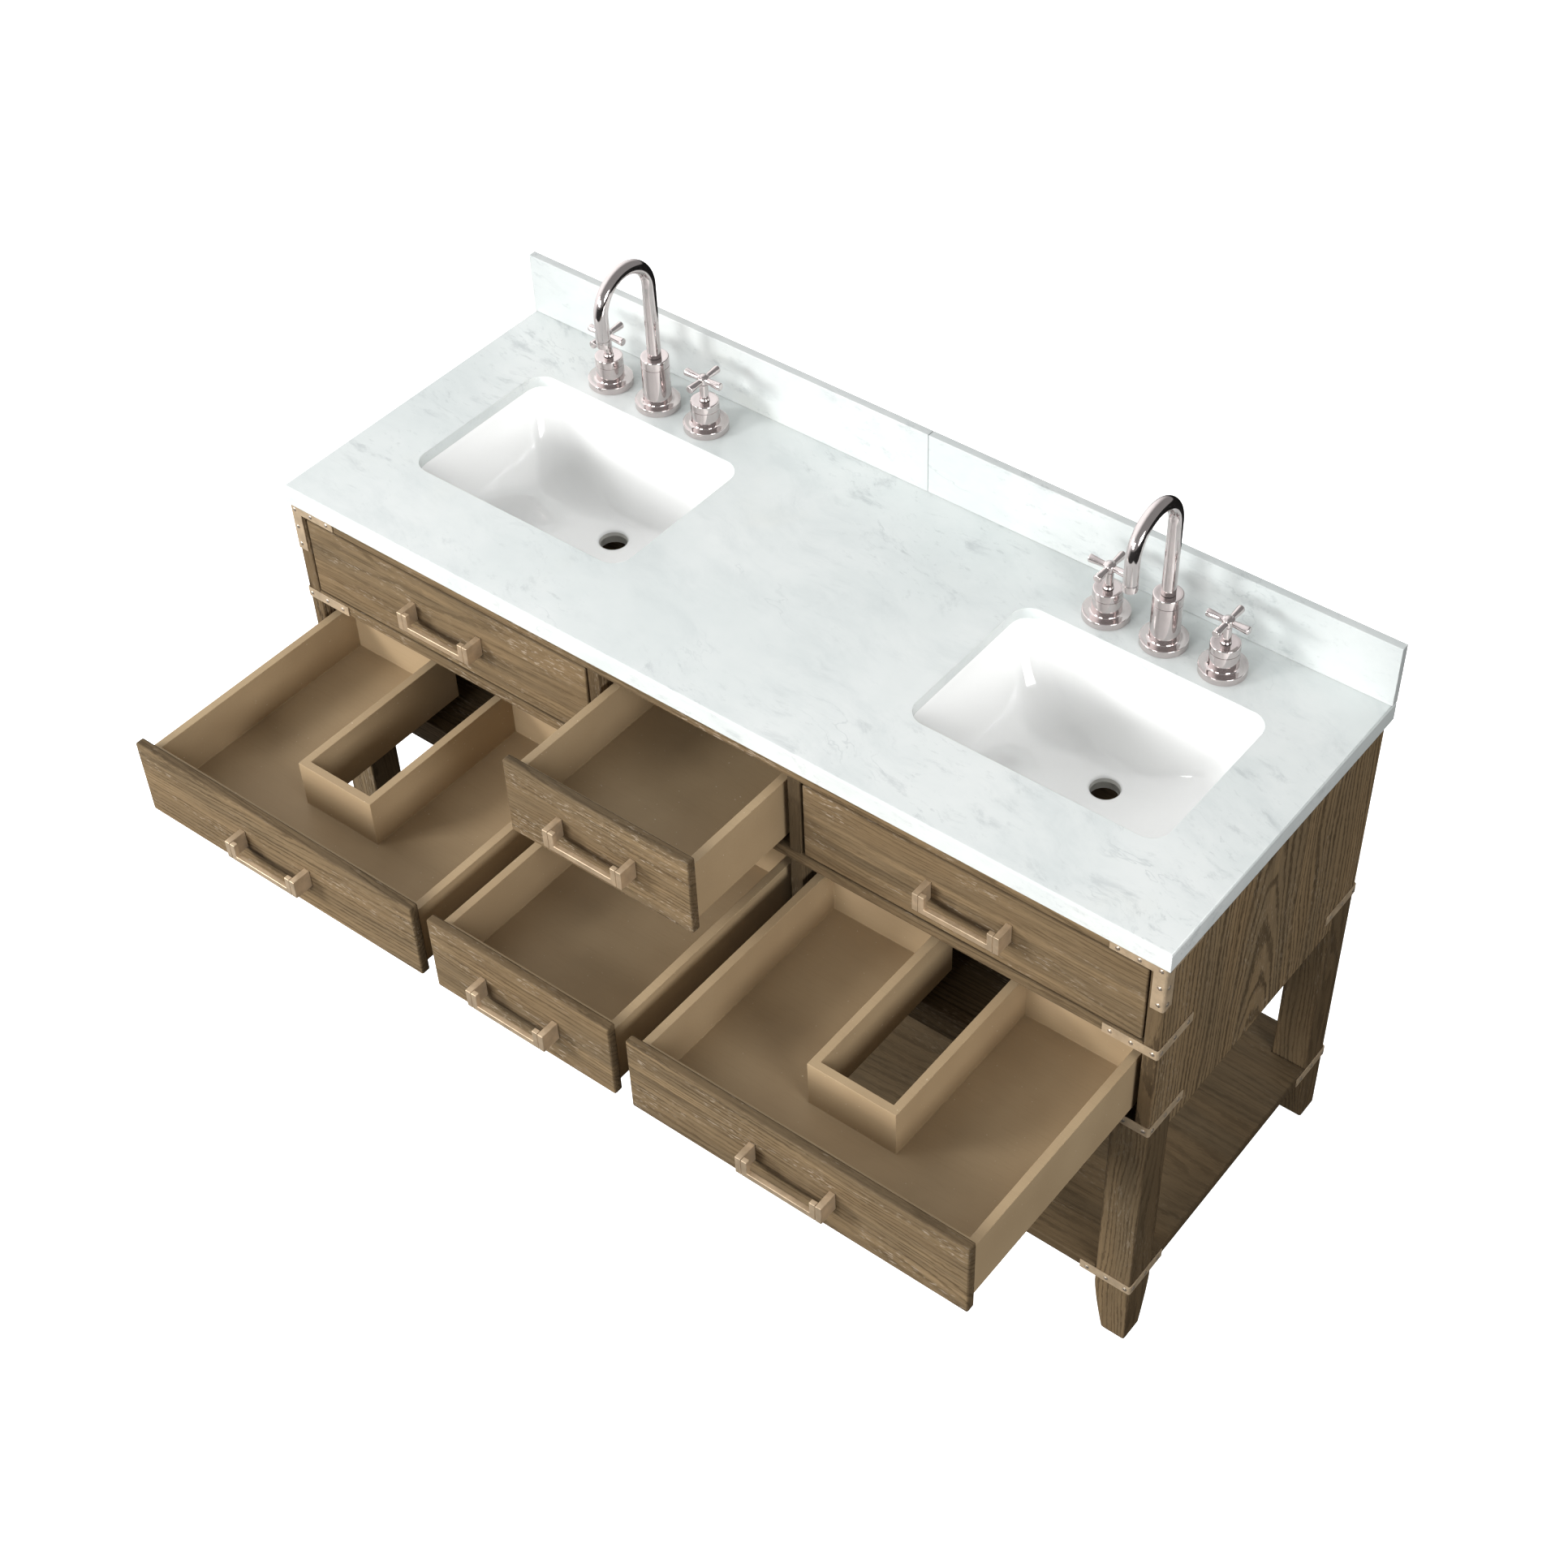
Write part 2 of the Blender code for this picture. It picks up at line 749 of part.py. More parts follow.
def rivets_for(sign_x, back, spots):
    """One mesh with all rivets of a strap. Each spot is (distance from the bend, height)."""
    outer = HALF_BODY + GAP + STRAP_THICK
    sign_y = 1 if back else -1
    face = (BODY_BACK if back else BODY_FRONT) + sign_y * (GAP + STRAP_THICK)
    vertices = []
    faces = []
    for away, height in spots:
        for rings in (
            rivet(sign_x * (outer - away), face, height, False, sign_y),
            rivet(sign_x * outer, face - sign_y * away, height, True, sign_x),
        ):
            count = len(rings[0])
            first = len(vertices)
            vertices.extend(point for ring in rings for point in ring)
            faces.append(tuple(range(first, first + count)))
            last = first + 2 * count
            faces.append(tuple(range(last, last + count)))
            for level in range(2):
                low = first + level * count
                for side in range(count):
                    after = (side + 1) % count
                    faces.append(
                        (low + side, low + after, low + count + after, low + count + side)
                    )
    return vertices, faces


def build_strap(name, sign_x, back, low):
    """Corner strap with three rivets on each arm."""
    plan = strap_plan(sign_x, back, STRAP_ARM)
    strap = add_prism(name, plan, "Z", low, low + STRAP_HEIGHT, "bronze")
    middle = low + STRAP_HEIGHT / 2
    spots = [(RIVET_FIRST + RIVET_PITCH * step, middle) for step in range(3)]
    tool = add_mesh("join_" + name, *rivets_for(sign_x, back, spots))
    apply_boolean(strap, tool, "UNION")


def build_bracket(name, sign_x):
    """Upper corner bracket: arms along the top and a leaf down the corner."""
    high = TOP_UNDER - GAP
    plan = strap_plan(sign_x, False, STRAP_ARM)
    bracket = add_prism(name, plan, "Z", BRACKET_ARM_LOW, high, "bronze")
    plan = strap_plan(sign_x, False, STRAP_HEIGHT + 0.003)
    leaf = add_prism("join_leaf_" + name, plan, "Z", BRACKET_LOW, high)
    apply_boolean(bracket, leaf, "UNION")
    row = (BRACKET_ARM_LOW + high) / 2
    spots = [(RIVET_FIRST + RIVET_PITCH * step, row) for step in range(3)]
    spots += [(RIVET_FIRST, row - RIVET_PITCH), (RIVET_FIRST, row - 2 * RIVET_PITCH)]
    tool = add_mesh("join_rivets_" + name, *rivets_for(sign_x, False, spots))
    apply_boolean(bracket, tool, "UNION")


def build_hardware():
    """Bronze straps at all four corners, and a bracket at each upper front corner."""
    for sign, side in ((-1, "left"), (1, "right")):
        build_bracket("bracket_top_" + side, sign)
        build_strap("strap_middle_" + side, sign, False, MID_STRAP_LOW)
        build_strap("strap_lower_" + side, sign, False, LOW_STRAP_LOW)
        build_strap("strap_shelf_" + side, sign, False, SHELF_STRAP_LOW)
        build_strap("strap_back_lower_" + side, sign, True, LOW_STRAP_LOW)
        build_strap("strap_back_shelf_" + side, sign, True, SHELF_STRAP_LOW)


def centre_footprint():
    """Move everything from the wall plane to the middle of the footprint."""
    for obj in bpy.data.objects:
        if obj.parent is None:
            obj.location.y += Y_ORIGIN


def main():
    clear_scene()
    build_countertop()
    build_backsplash()
    for sign, side in ((-1, "left"), (1, "right")):
        build_bowl("sink_bowl_" + side, sign * BOWL_X)
        build_leg("leg_front_" + side, sign, False)
        build_leg("leg_back_" + side, sign, True)
    build_taps()
    build_sides()
    build_rails()
    build_dividers()
    build_floor_and_back()
    build_shelf()
    build_fronts()
    build_hardware()
    centre_footprint()


main()
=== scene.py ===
"""Visual model of the double vanity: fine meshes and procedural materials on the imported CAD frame."""

import json
import math

import bmesh
import bpy
from mathutils import Matrix, Vector

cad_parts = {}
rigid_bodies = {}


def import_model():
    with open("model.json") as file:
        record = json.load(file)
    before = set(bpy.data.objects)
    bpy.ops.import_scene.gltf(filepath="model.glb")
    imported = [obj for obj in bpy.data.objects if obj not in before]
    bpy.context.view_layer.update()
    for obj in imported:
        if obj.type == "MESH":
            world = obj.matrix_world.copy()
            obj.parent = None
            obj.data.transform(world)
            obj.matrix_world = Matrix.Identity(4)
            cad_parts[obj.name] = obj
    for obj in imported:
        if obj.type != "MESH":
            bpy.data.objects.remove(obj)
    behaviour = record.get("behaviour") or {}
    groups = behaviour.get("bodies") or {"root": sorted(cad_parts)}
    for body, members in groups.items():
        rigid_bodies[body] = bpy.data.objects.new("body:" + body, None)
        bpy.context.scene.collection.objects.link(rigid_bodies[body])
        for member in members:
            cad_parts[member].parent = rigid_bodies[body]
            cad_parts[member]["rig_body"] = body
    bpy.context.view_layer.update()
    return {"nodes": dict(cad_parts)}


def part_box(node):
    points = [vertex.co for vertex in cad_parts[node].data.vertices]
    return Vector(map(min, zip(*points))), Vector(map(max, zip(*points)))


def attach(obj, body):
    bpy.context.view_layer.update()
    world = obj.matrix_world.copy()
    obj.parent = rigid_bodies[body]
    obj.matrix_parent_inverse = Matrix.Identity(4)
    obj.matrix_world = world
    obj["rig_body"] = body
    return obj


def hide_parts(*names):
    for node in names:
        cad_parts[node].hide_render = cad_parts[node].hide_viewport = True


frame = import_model()

# Everything is in metres.
SIDES = ((-1, "left"), (1, "right"))
AXES = {"X": 0, "Y": 1, "Z": 2}

# The foot sweeps in over its height, and its edge on the floor is pinched in a little more.
FOOT_HEIGHT = 0.104
FOOT_SWEEP = 0.0185
FOOT_PINCH = 0.0022
FOOT_PINCH_HEIGHT = 0.004
LEG_EASE = 0.003

# Rivets are measured along a strap from its corner, and rise over its face.
RIVET_RISE = 0.0011
RIVET_FIRST = 0.0088
RIVET_PITCH = 0.032
STRAP_THICK = 0.0019
STRAP_BEND = 0.0036
BRACKET_BAND = 0.0142
LEAF_WIDTH = 0.0201

FLANGE_THICK = 0.0115
COLUMN_RADIUS = 0.0215
SPOUT_RADIUS = 0.0105
OUTLET_DROP = 0.047

# The drain lies behind the middle of its bowl, and a ridge runs round inside its bore.
BOWL_WALL = 0.009
DRAIN_BACK = 0.0610
DRAIN_BORE = 0.0440
DRAIN_RIDGE = 0.0428
DRAIN_OUTSIDE = 0.062

OAK_BASE = (0.175, 0.119, 0.064)
OAK_GREY = (0.141, 0.103, 0.061)
OAK_PALE = (0.240, 0.168, 0.093)
OAK_DEEP = (0.046, 0.031, 0.017)
OAK_LIMING = (0.40, 0.33, 0.25)
STRAP_BRONZE = (0.515, 0.395, 0.262)
RIVET_BRONZE = (0.68, 0.580, 0.470)
PULL_BRONZE = (0.62, 0.475, 0.320)

# How the looks of one piece's oak differ from the plain board; oak() says what each name means.
# Its tone of 1.12 is painted light: it lightens the side panels, whose outer faces get less lamp light
# than the fronts.
SIDE_CUT_AND_PAINTED_LIGHT = {
    "tone": 1.12,
    "spacing": 0.0090,
    "tilt": 0.10,
    "centre": 0.035,
    "aside": 0.0,
    "bold": 0.82,
    "calm": 0.5,
}
# Its tone of 0.89 is painted shade: it darkens the legs' oak.
LEG_CUT_AND_PAINTED_SHADE = {
    "tone": 0.89,
    "spacing": 0.0062,
    "tilt": 0.02,
    "centre": 0.03,
    "aside": 0.09,
    "bold": 0.6,
    "calm": 0.4,
}
# Its tone of 0.74 is painted shade: it darkens the shelf low under the cabinet.
SHELF_CUT_AND_PAINTED_SHADE = {"tone": 0.74, "spacing": 0.010, "aside": 0.10, "bold": 0.40, "calm": 0.35}


# ---------------------------------------------------------------- materials


def toned(colour, tone):
    """The colour made lighter or darker by one factor."""
    return tuple(part * tone for part in colour)


class Graph:
    """Short way to write a material's node tree. Most methods return the new node's output."""

    def __init__(self, name):
        self.material = bpy.data.materials.new(name)
        self.material.use_nodes = True
        self.tree = self.material.node_tree
        self.shader = self.tree.nodes["Principled BSDF"]

    def plug(self, socket, value):
        """Put a number, a vector, a colour or another node's output on a socket."""
        if isinstance(value, bpy.types.NodeSocket):
            self.tree.links.new(value, socket)
        elif value is not None:
            socket.default_value = (*value, 1.0) if socket.type == "RGBA" else value

    def math(self, operation, first, second=None, third=None):
        node = self.tree.nodes.new("ShaderNodeMath")
        node.operation = operation
        for index, value in enumerate((first, second, third)):
            self.plug(node.inputs[index], value)
        return node.outputs[0]

    def vector(self, operation, first, second=None):
        node = self.tree.nodes.new("ShaderNodeVectorMath")
        node.operation = operation
        self.plug(node.inputs[0], first)
        self.plug(node.inputs[1], second)
        return node.outputs["Value" if operation == "LENGTH" else "Vector"]

    def separate(self, vector):
        node = self.tree.nodes.new("ShaderNodeSeparateXYZ")
        self.plug(node.inputs[0], vector)
        return list(node.outputs)

    def combine(self, x, y, z):
        node = self.tree.nodes.new("ShaderNodeCombineXYZ")
        for socket, value in zip(node.inputs, (x, y, z)):
            self.plug(socket, value)
        return node.outputs[0]

    def place(self):
        """The point in the object's own metres, so the pattern moves with the piece."""
        return self.tree.nodes.new("ShaderNodeTexCoord").outputs["Object"]

    def noise(self, vector, scale, detail=3.0, roughness=0.5):
        node = self.tree.nodes.new("ShaderNodeTexNoise")
        self.plug(node.inputs["Vector"], vector)
        node.inputs["Scale"].default_value = scale
        node.inputs["Detail"].default_value = detail
        node.inputs["Roughness"].default_value = roughness
        return node.outputs["Fac"]

    def ramp(self, value, low, high, to_low=0.0, to_high=1.0):
        """Smooth step from to_low at low to to_high at high."""
        node = self.tree.nodes.new("ShaderNodeMapRange")
        node.interpolation_type = "SMOOTHSTEP"
        for index, item in enumerate((value, low, high, to_low, to_high)):
            self.plug(node.inputs[index], item)
        return node.outputs[0]

    def mix(self, factor, first, second):
        """The first colour at factor 0, the second at factor 1."""
        node = self.tree.nodes.new("ShaderNodeMix")
        node.data_type = "RGBA"
        self.plug(node.inputs["Factor"], factor)
        for name, value in (("A", first), ("B", second)):
            socket = next(s for s in node.inputs if s.name == name and s.type == "RGBA")
            self.plug(socket, value)
        return next(s for s in node.outputs if s.type == "RGBA")

    def bump(self, height, distance, strength):
        node = self.tree.nodes.new("ShaderNodeBump")
        node.inputs["Strength"].default_value = strength
        node.inputs["Distance"].default_value = distance
        self.plug(node.inputs["Height"], height)
        return node.outputs[0]

    def finish(self, colour, roughness, metallic=0.0, normal=None):
        """Plug the results into the shader and return the material."""
        self.plug(self.shader.inputs["Base Color"], colour)
        self.plug(self.shader.inputs["Roughness"], roughness)
        self.plug(self.shader.inputs["Metallic"], metallic)
        self.plug(self.shader.inputs["Normal"], normal)
        return self.material


def oak(
    name,
    grain,
    face,
    seed,
    lo,
    hi,
    tone=1.0,
    spacing=0.0075,
    tilt=0.05,
    centre=0.05,
    aside=0.07,
    bold=0.55,
    calm=1.0,
):
    """Wire-brushed grey-brown oak. Rings of a tree run along the grain axis and surface as
    streaks or cathedrals, with pores in their early wood, pale liming in some, and the colour
    darkens near the board's edges. grain is the axis along the board and face the one through
    it; lo and hi are the board's corners. tone scales every colour, spacing is the width of a
    ring, centre is how far the heart lies under the face and tilt how fast that changes along
    the grain. aside is how far the heart lies from the board's middle, bold how dark the rings
    are and calm how strong the streaks and the liming are."""
    g = Graph(name)
    xyz = g.separate(g.place())
    along = xyz[AXES[grain]]
    depth = xyz[AXES[face]]
    across_axis = ({"X", "Y", "Z"} - {grain, face}).pop()
    across = xyz[AXES[across_axis]]
    middle = (lo[AXES[across_axis]] + hi[AXES[across_axis]]) / 2
    shift = math.sin(seed * 12.9898) * 0.5 + 0.5
    u = g.math("SUBTRACT", across, middle + (shift - 0.5) * 0.07 - aside)
    start = lo[AXES[grain]] + (hi[AXES[grain]] - lo[AXES[grain]]) * (0.2 + 0.6 * shift)
    w = g.math("SUBTRACT", along, start)
    moved = g.vector("ADD", g.combine(u, depth, w), Vector((seed * 3.17, seed * 1.31, seed * 7.73)))

    def fibre(fine, length, detail=3.0, roughness=0.55):
        """Noise drawn out along the grain, fine and length in features per metre."""
        return g.noise(g.vector("MULTIPLY", moved, (fine, fine, length)), 1.0, detail, roughness)

    wander = g.math("SUBTRACT", fibre(7.0, 1.6, 2.0), 0.5)
    ripple = g.math("SUBTRACT", fibre(34.0, 9.0, 2.0), 0.5)
    u_bent = g.math("MULTIPLY_ADD", wander, 0.060, u)
    heart = g.math("ADD", g.math("MULTIPLY_ADD", w, tilt, depth), centre - lo[AXES[face]])
    heart = g.math("MULTIPLY_ADD", wander, 0.035, heart)
    radius = g.vector("LENGTH", g.combine(u_bent, heart, 0.0))
    radius = g.math("MULTIPLY_ADD", ripple, 0.0075, radius)
    turns = g.math("MULTIPLY", radius, 1.0 / spacing)
    turns = g.math("MULTIPLY_ADD", g.noise(g.combine(turns, seed, 0.0), 0.6, 1.0), 1.6, turns)
    saw = g.math("FRACT", turns)
    pores = fibre(950.0, 40.0, 2.0, 0.6)
    ragged = g.math("MULTIPLY_ADD", g.math("SUBTRACT", fibre(420.0, 70.0, 3.0), 0.5), 0.9, saw)
    early = g.math("MULTIPLY", g.ramp(ragged, 0.50, 0.74), g.ramp(ragged, 0.90, 1.04, 1.0, 0.0))
    broken = g.ramp(fibre(40.0, 11.0), 0.36, 0.60, 1.0 - (1.0 - bold) * 1.3, 1.0)
    line = g.math("MULTIPLY", g.math("MULTIPLY", early, broken), bold)
    streak = g.math("MULTIPLY", g.ramp(fibre(230.0, 7.5, 4.0, 0.6), 0.53, 0.70), 0.50 * calm)
    scattered = g.math("MULTIPLY", g.ramp(pores, 0.58, 0.70), 0.42)
    dark = g.math("MAXIMUM", g.math("MAXIMUM", line, streak), scattered)
    pale = toned(OAK_PALE, tone)
    deep = toned(OAK_DEEP, tone)
    colour = g.mix(g.ramp(fibre(16.0, 2.4), 0.3, 0.7), toned(OAK_BASE, tone), toned(OAK_GREY, tone))
    colour = g.mix(g.math("MULTIPLY", g.ramp(fibre(62.0, 2.6, 4.0), 0.42, 0.72), calm), colour, pale)
    colour = g.mix(g.math("MULTIPLY", g.ramp(fibre(700.0, 16.0), 0.35, 0.75), 0.35), colour, pale)
    colour = g.mix(dark, colour, deep)
    limed_pores = g.ramp(fibre(380.0, 75.0, 2.0), 0.56, 0.66)
    liming = g.math("MULTIPLY", limed_pores, g.ramp(fibre(22.0, 6.0), 0.48, 0.62))
    colour = g.mix(g.math("MULTIPLY", liming, 0.65 * calm), colour, toned(OAK_LIMING, tone))
    # The colour darkens within about 4 mm of the board's edges, along and across the grain.
    nearest = None
    for axis in sorted({grain, across_axis}):
        number = AXES[axis]
        for value in (
            g.math("SUBTRACT", xyz[number], lo[number]),
            g.math("SUBTRACT", hi[number], xyz[number]),
        ):
            nearest = value if nearest is None else g.math("MINIMUM", nearest, value)
    ragged_edge_distance = g.math("MULTIPLY_ADD", g.noise(moved, 90.0, 2.0), 0.0016, nearest)
    colour = g.mix(g.ramp(ragged_edge_distance, 0.0012, 0.0040, 0.48, 0.0), colour, deep)
    g.shader.inputs["Specular IOR Level"].default_value = 0.06
    height = g.math("MULTIPLY_ADD", dark, -1.0, g.math("MULTIPLY", fibre(700.0, 16.0), 0.35))
    rough = g.math("MULTIPLY_ADD", dark, 0.18, 0.58)
    return g.finish(colour, rough, 0.0, g.bump(height, 0.0005, 0.5))


def marble(name, seed=0.0, tone=1.0):
    """Polished white marble: cool clouds, short grey flecks in drifts, thin broken veins."""
    g = Graph(name)
    point = g.vector("ADD", g.place(), (seed, seed * 2.0, 0.0))
    warp = g.math("SUBTRACT", g.noise(point, 4.0, 3.0), 0.5)
    push = g.combine(g.math("MULTIPLY", warp, 0.16), g.math("MULTIPLY", warp, 0.10), 0.0)
    bent = g.vector("ADD", point, push)
    turn = g.tree.nodes.new("ShaderNodeVectorRotate")
    turn.rotation_type = "Z_AXIS"
    turn.inputs["Angle"].default_value = math.radians(14)
    g.plug(turn.inputs["Vector"], bent)
    lined = g.vector("MULTIPLY", turn.outputs[0], (1.0, 2.4, 2.4))

    def shade(*colour):
        return toned(colour, tone)

    cloud = g.ramp(g.noise(point, 3.2, 5.0, 0.62), 0.30, 0.72)
    colour = g.mix(cloud, shade(0.630, 0.672, 0.664), shade(0.722, 0.748, 0.738))
    haze = g.ramp(g.noise(lined, 7.0, 6.0, 0.68), 0.42, 0.78)
    colour = g.mix(g.math("MULTIPLY", haze, 0.50), colour, shade(0.545, 0.590, 0.590))
    warm = g.ramp(g.noise(g.vector("ADD", point, (5.0, 1.0, 0.0)), 5.0, 3.0), 0.60, 0.80)
    colour = g.mix(g.math("MULTIPLY", warm, 0.25), colour, shade(0.715, 0.715, 0.645))
    drift = g.ramp(g.noise(g.vector("ADD", point, (1.7, 8.3, 0.0)), 4.2, 3.0), 0.36, 0.60)
    fleck = g.math("MULTIPLY", g.ramp(g.noise(lined, 15.0, 7.0, 0.70), 0.535, 0.720), drift)
    colour = g.mix(g.math("MULTIPLY", fleck, 0.46), colour, shade(0.300, 0.335, 0.350))
    speck = g.math("MULTIPLY", g.ramp(g.noise(lined, 44.0, 5.0, 0.70), 0.580, 0.700), drift)
    colour = g.mix(g.math("MULTIPLY", speck, 0.32), colour, shade(0.330, 0.365, 0.370))
    ridge = g.math("ABSOLUTE", g.math("SUBTRACT", g.noise(lined, 3.6, 5.0, 0.62), 0.5))
    broken = g.ramp(g.noise(point, 6.5, 3.0), 0.50, 0.70)
    vein = g.math("MULTIPLY", g.ramp(ridge, 0.0, 0.010, 1.0, 0.0), broken)
    colour = g.mix(g.math("MULTIPLY", vein, 0.36), colour, shade(0.370, 0.410, 0.420))
    return g.finish(colour, 0.16, 0.0, g.bump(g.noise(point, 40.0, 2.0), 0.0002, 0.08))


def tan_paint(name, seed):
    """Matte tan lacquer over fine wood fibre, with faint specks and scratches."""
    g = Graph(name)
    point = g.vector("ADD", g.place(), (seed, seed, seed))
    broad = g.ramp(g.noise(point, 7.0, 3.0), 0.3, 0.7)
    colour = g.mix(broad, (0.342, 0.248, 0.147), (0.384, 0.284, 0.171))
    fibre = g.noise(g.vector("MULTIPLY", point, (30.0, 420.0, 420.0)), 1.0, 3.0)
    colour = g.mix(g.math("MULTIPLY", g.ramp(fibre, 0.45, 0.8), 0.22), colour, (0.290, 0.215, 0.125))
    scuff = g.noise(g.vector("MULTIPLY", point, (60.0, 14.0, 60.0)), 1.0, 5.0, 0.7)
    colour = g.mix(g.math("MULTIPLY", g.ramp(scuff, 0.68, 0.76), 0.35), colour, (0.480, 0.300, 0.180))
    speck = g.ramp(g.noise(point, 240.0, 1.0), 0.765, 0.80)
    colour = g.mix(g.math("MULTIPLY", speck, 0.7), colour, (0.640, 0.540, 0.400))
    rough = g.math("MULTIPLY_ADD", broad, 0.10, 0.44)
    g.shader.inputs["Specular IOR Level"].default_value = 0.12
    return g.finish(colour, rough, 0.0, g.bump(fibre, 0.00015, 0.35))


def bronze(name, colour, roughness, seed, metallic):
    """Satin plated metal with fine brushing and a slightly uneven patina."""
    g = Graph(name)
    point = g.vector("ADD", g.place(), (seed, seed, seed))
    patina = g.ramp(g.noise(point, 60.0, 4.0, 0.6), 0.3, 0.7)
    tint = g.mix(patina, toned(colour, 0.78), colour)
    brush = g.noise(g.vector("MULTIPLY", point, (120.0, 120.0, 1900.0)), 1.0, 2.0)
    brushed = g.math("MULTIPLY", g.ramp(brush, 0.4, 0.8), 0.25)
    tint = g.mix(brushed, tint, toned(colour, 0.68))
    rough = g.math("MULTIPLY_ADD", patina, 0.10, roughness)
    return g.finish(tint, rough, metallic, g.bump(brush, 0.00005, 0.4))


def nickel(name):
    """Polished nickel with a faint warm tint and a thin uneven film."""
    g = Graph(name)
    film = g.noise(g.place(), 45.0, 3.0)
    colour = g.mix(film, (0.60, 0.540, 0.532), (0.69, 0.625, 0.616))
    rough = g.math("MULTIPLY_ADD", film, 0.05, 0.06)
    return g.finish(colour, rough, 0.97)


def ceramic(name):
    """Glossy white glaze, faintly orange-peeled."""
    g = Graph(name)
    point = g.place()
    colour = g.mix(g.noise(point, 5.0, 2.0), (0.950, 0.955, 0.945), (0.970, 0.972, 0.965))
    g.shader.inputs["Coat Weight"].default_value = 0.4
    g.shader.inputs["Coat Roughness"].default_value = 0.03
    return g.finish(colour, 0.07, 0.0, g.bump(g.noise(point, 55.0, 2.0), 0.0004, 0.10))


def plain(name, colour, roughness, metallic=0.0):
    """Small hidden surfaces: one colour with a fine mottling."""
    g = Graph(name)
    mottle = g.noise(g.place(), 120.0, 3.0)
    tint = g.mix(mottle, toned(colour, 0.85), colour)
    return g.finish(tint, roughness, metallic, g.bump(mottle, 0.0001, 0.3))


# ---------------------------------------------------------------- mesh tools


def new_object(name, bm, materials, bevelled=True):
    """Turn a bmesh into a smooth object. On a bevelled one the flat sides are kept flat."""
    mesh = bpy.data.meshes.new(name)
    bmesh.ops.recalc_face_normals(bm, faces=bm.faces)
    bm.to_mesh(mesh)
    bm.free()
    mesh.shade_smooth()
    mesh.set_sharp_from_angle(angle=math.radians(42))
    for material in materials:
        mesh.materials.append(material)
    obj = bpy.data.objects.new(name, mesh)
    bpy.context.scene.collection.objects.link(obj)
    if bevelled:
        weigh = obj.modifiers.new("flat_sides", "WEIGHTED_NORMAL")
        weigh.keep_sharp = True
    return obj


def stand_for(obj, node):
    """Ride with the CAD node's body and take its place."""
    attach(obj, frame["nodes"][node]["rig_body"])
    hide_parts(node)


def round_edges(bm, width, segments=3, least=25.0, chosen=None):
    """Bevel the edges that turn by more than least degrees, or those of them that are chosen."""
    edges = []
    for edge in bm.edges:
        if len(edge.link_faces) != 2:
            continue
        if edge.calc_face_angle(0.0) > math.radians(least) and (chosen is None or chosen(edge)):
            edges.append(edge)
    bmesh.ops.bevel(
        bm,
        geom=edges,
        offset=width,
        offset_type="OFFSET",
        segments=segments,
        profile=0.5,
        affect="EDGES",
        clamp_overlap=True,
    )


def from_cad(node):
    """The CAD node's own mesh, welded, with its flat faces made whole again."""
    bm = bmesh.new()
    bm.from_mesh(frame["nodes"][node].data)
    bmesh.ops.remove_doubles(bm, verts=bm.verts, dist=0.00001)
    bmesh.ops.dissolve_limit(bm, angle_limit=math.radians(0.6), verts=bm.verts, edges=bm.edges)
    return bm


def add_rings(bm, rings, torus=False):
    """Skin rings of points, and either cap the ends or, as a torus, join the last to the first."""
    rows = [[bm.verts.new(point) for point in ring] for ring in rings]
    count = len(rows[0])
    faces = []
    pairs = list(zip(rows, rows[1:]))
    if torus:
        pairs.append((rows[-1], rows[0]))
    for low, high in pairs:
        for index in range(count):
            after = (index + 1) % count
            faces.append(bm.faces.new((low[index], low[after], high[after], high[index])))
    if not torus:
        faces.append(bm.faces.new(rows[0]))
        faces.append(bm.faces.new(rows[-1]))
    return faces


def add_lathe(bm, centre, profile, sides=56, material=0, turn=None):
    """Sweep (radius, height) pairs round an axis through centre: Z, or Z turned by the matrix
    turn. A radius of 0 closes the shape at a point."""
    turn = turn or Matrix.Identity(3)
    rows = []
    for radius, height in profile:
        if radius == 0:
            rows.append([bm.verts.new(Vector(centre) + turn @ Vector((0, 0, height)))])
            continue
        row = []
        for side in range(sides):
            angle = 2 * math.pi * side / sides
            spot = Vector((radius * math.cos(angle), radius * math.sin(angle), height))
            row.append(bm.verts.new(Vector(centre) + turn @ spot))
        rows.append(row)
    for low, high in zip(rows, rows[1:]):
        for side in range(sides):
            after = (side + 1) % sides
            if len(low) == 1:
                face = bm.faces.new((low[0], high[after], high[side]))
            elif len(high) == 1:
                face = bm.faces.new((low[side], low[after], high[0]))
            else:
                face = bm.faces.new((low[side], low[after], high[after], high[side]))
            face.material_index = material


def fillet(start, corner, end, steps=4):
    """Points of a rounded corner in a profile, from start past corner to end."""
    points = []
    for step in range(steps + 1):
        t = step / steps
        points.append(
            tuple(
                (1 - t) ** 2 * a + 2 * t * (1 - t) * b + t * t * c
                for a, b, c in zip(start, corner, end)
            )
        )
    return points


def rounded_loop(x, y, width, depth, radius, z, steps=10, straight=6):
    """Level rounded rectangle with evenly spaced points, also along its straight sides."""
    half_x = width / 2 - radius
    half_y = depth / 2 - radius
    corners = ((1, 1), (-1, 1), (-1, -1), (1, -1))

    def on_corner(corner, angle):
        sx, sy = corners[corner % 4]
        across = x + sx * half_x + radius * math.cos(angle)
        return Vector((across, y + sy * half_y + radius * math.sin(angle), z))

    points = []
    for corner in range(4):
        for step in range(steps + 1):
            points.append(on_corner(corner, math.pi / 2 * (corner + step / steps)))
        start = points[-1]
        end = on_corner(corner + 1, math.pi / 2 * (corner + 1))
        for step in range(1, straight):
            points.append(start.lerp(end, step / straight))
    return points


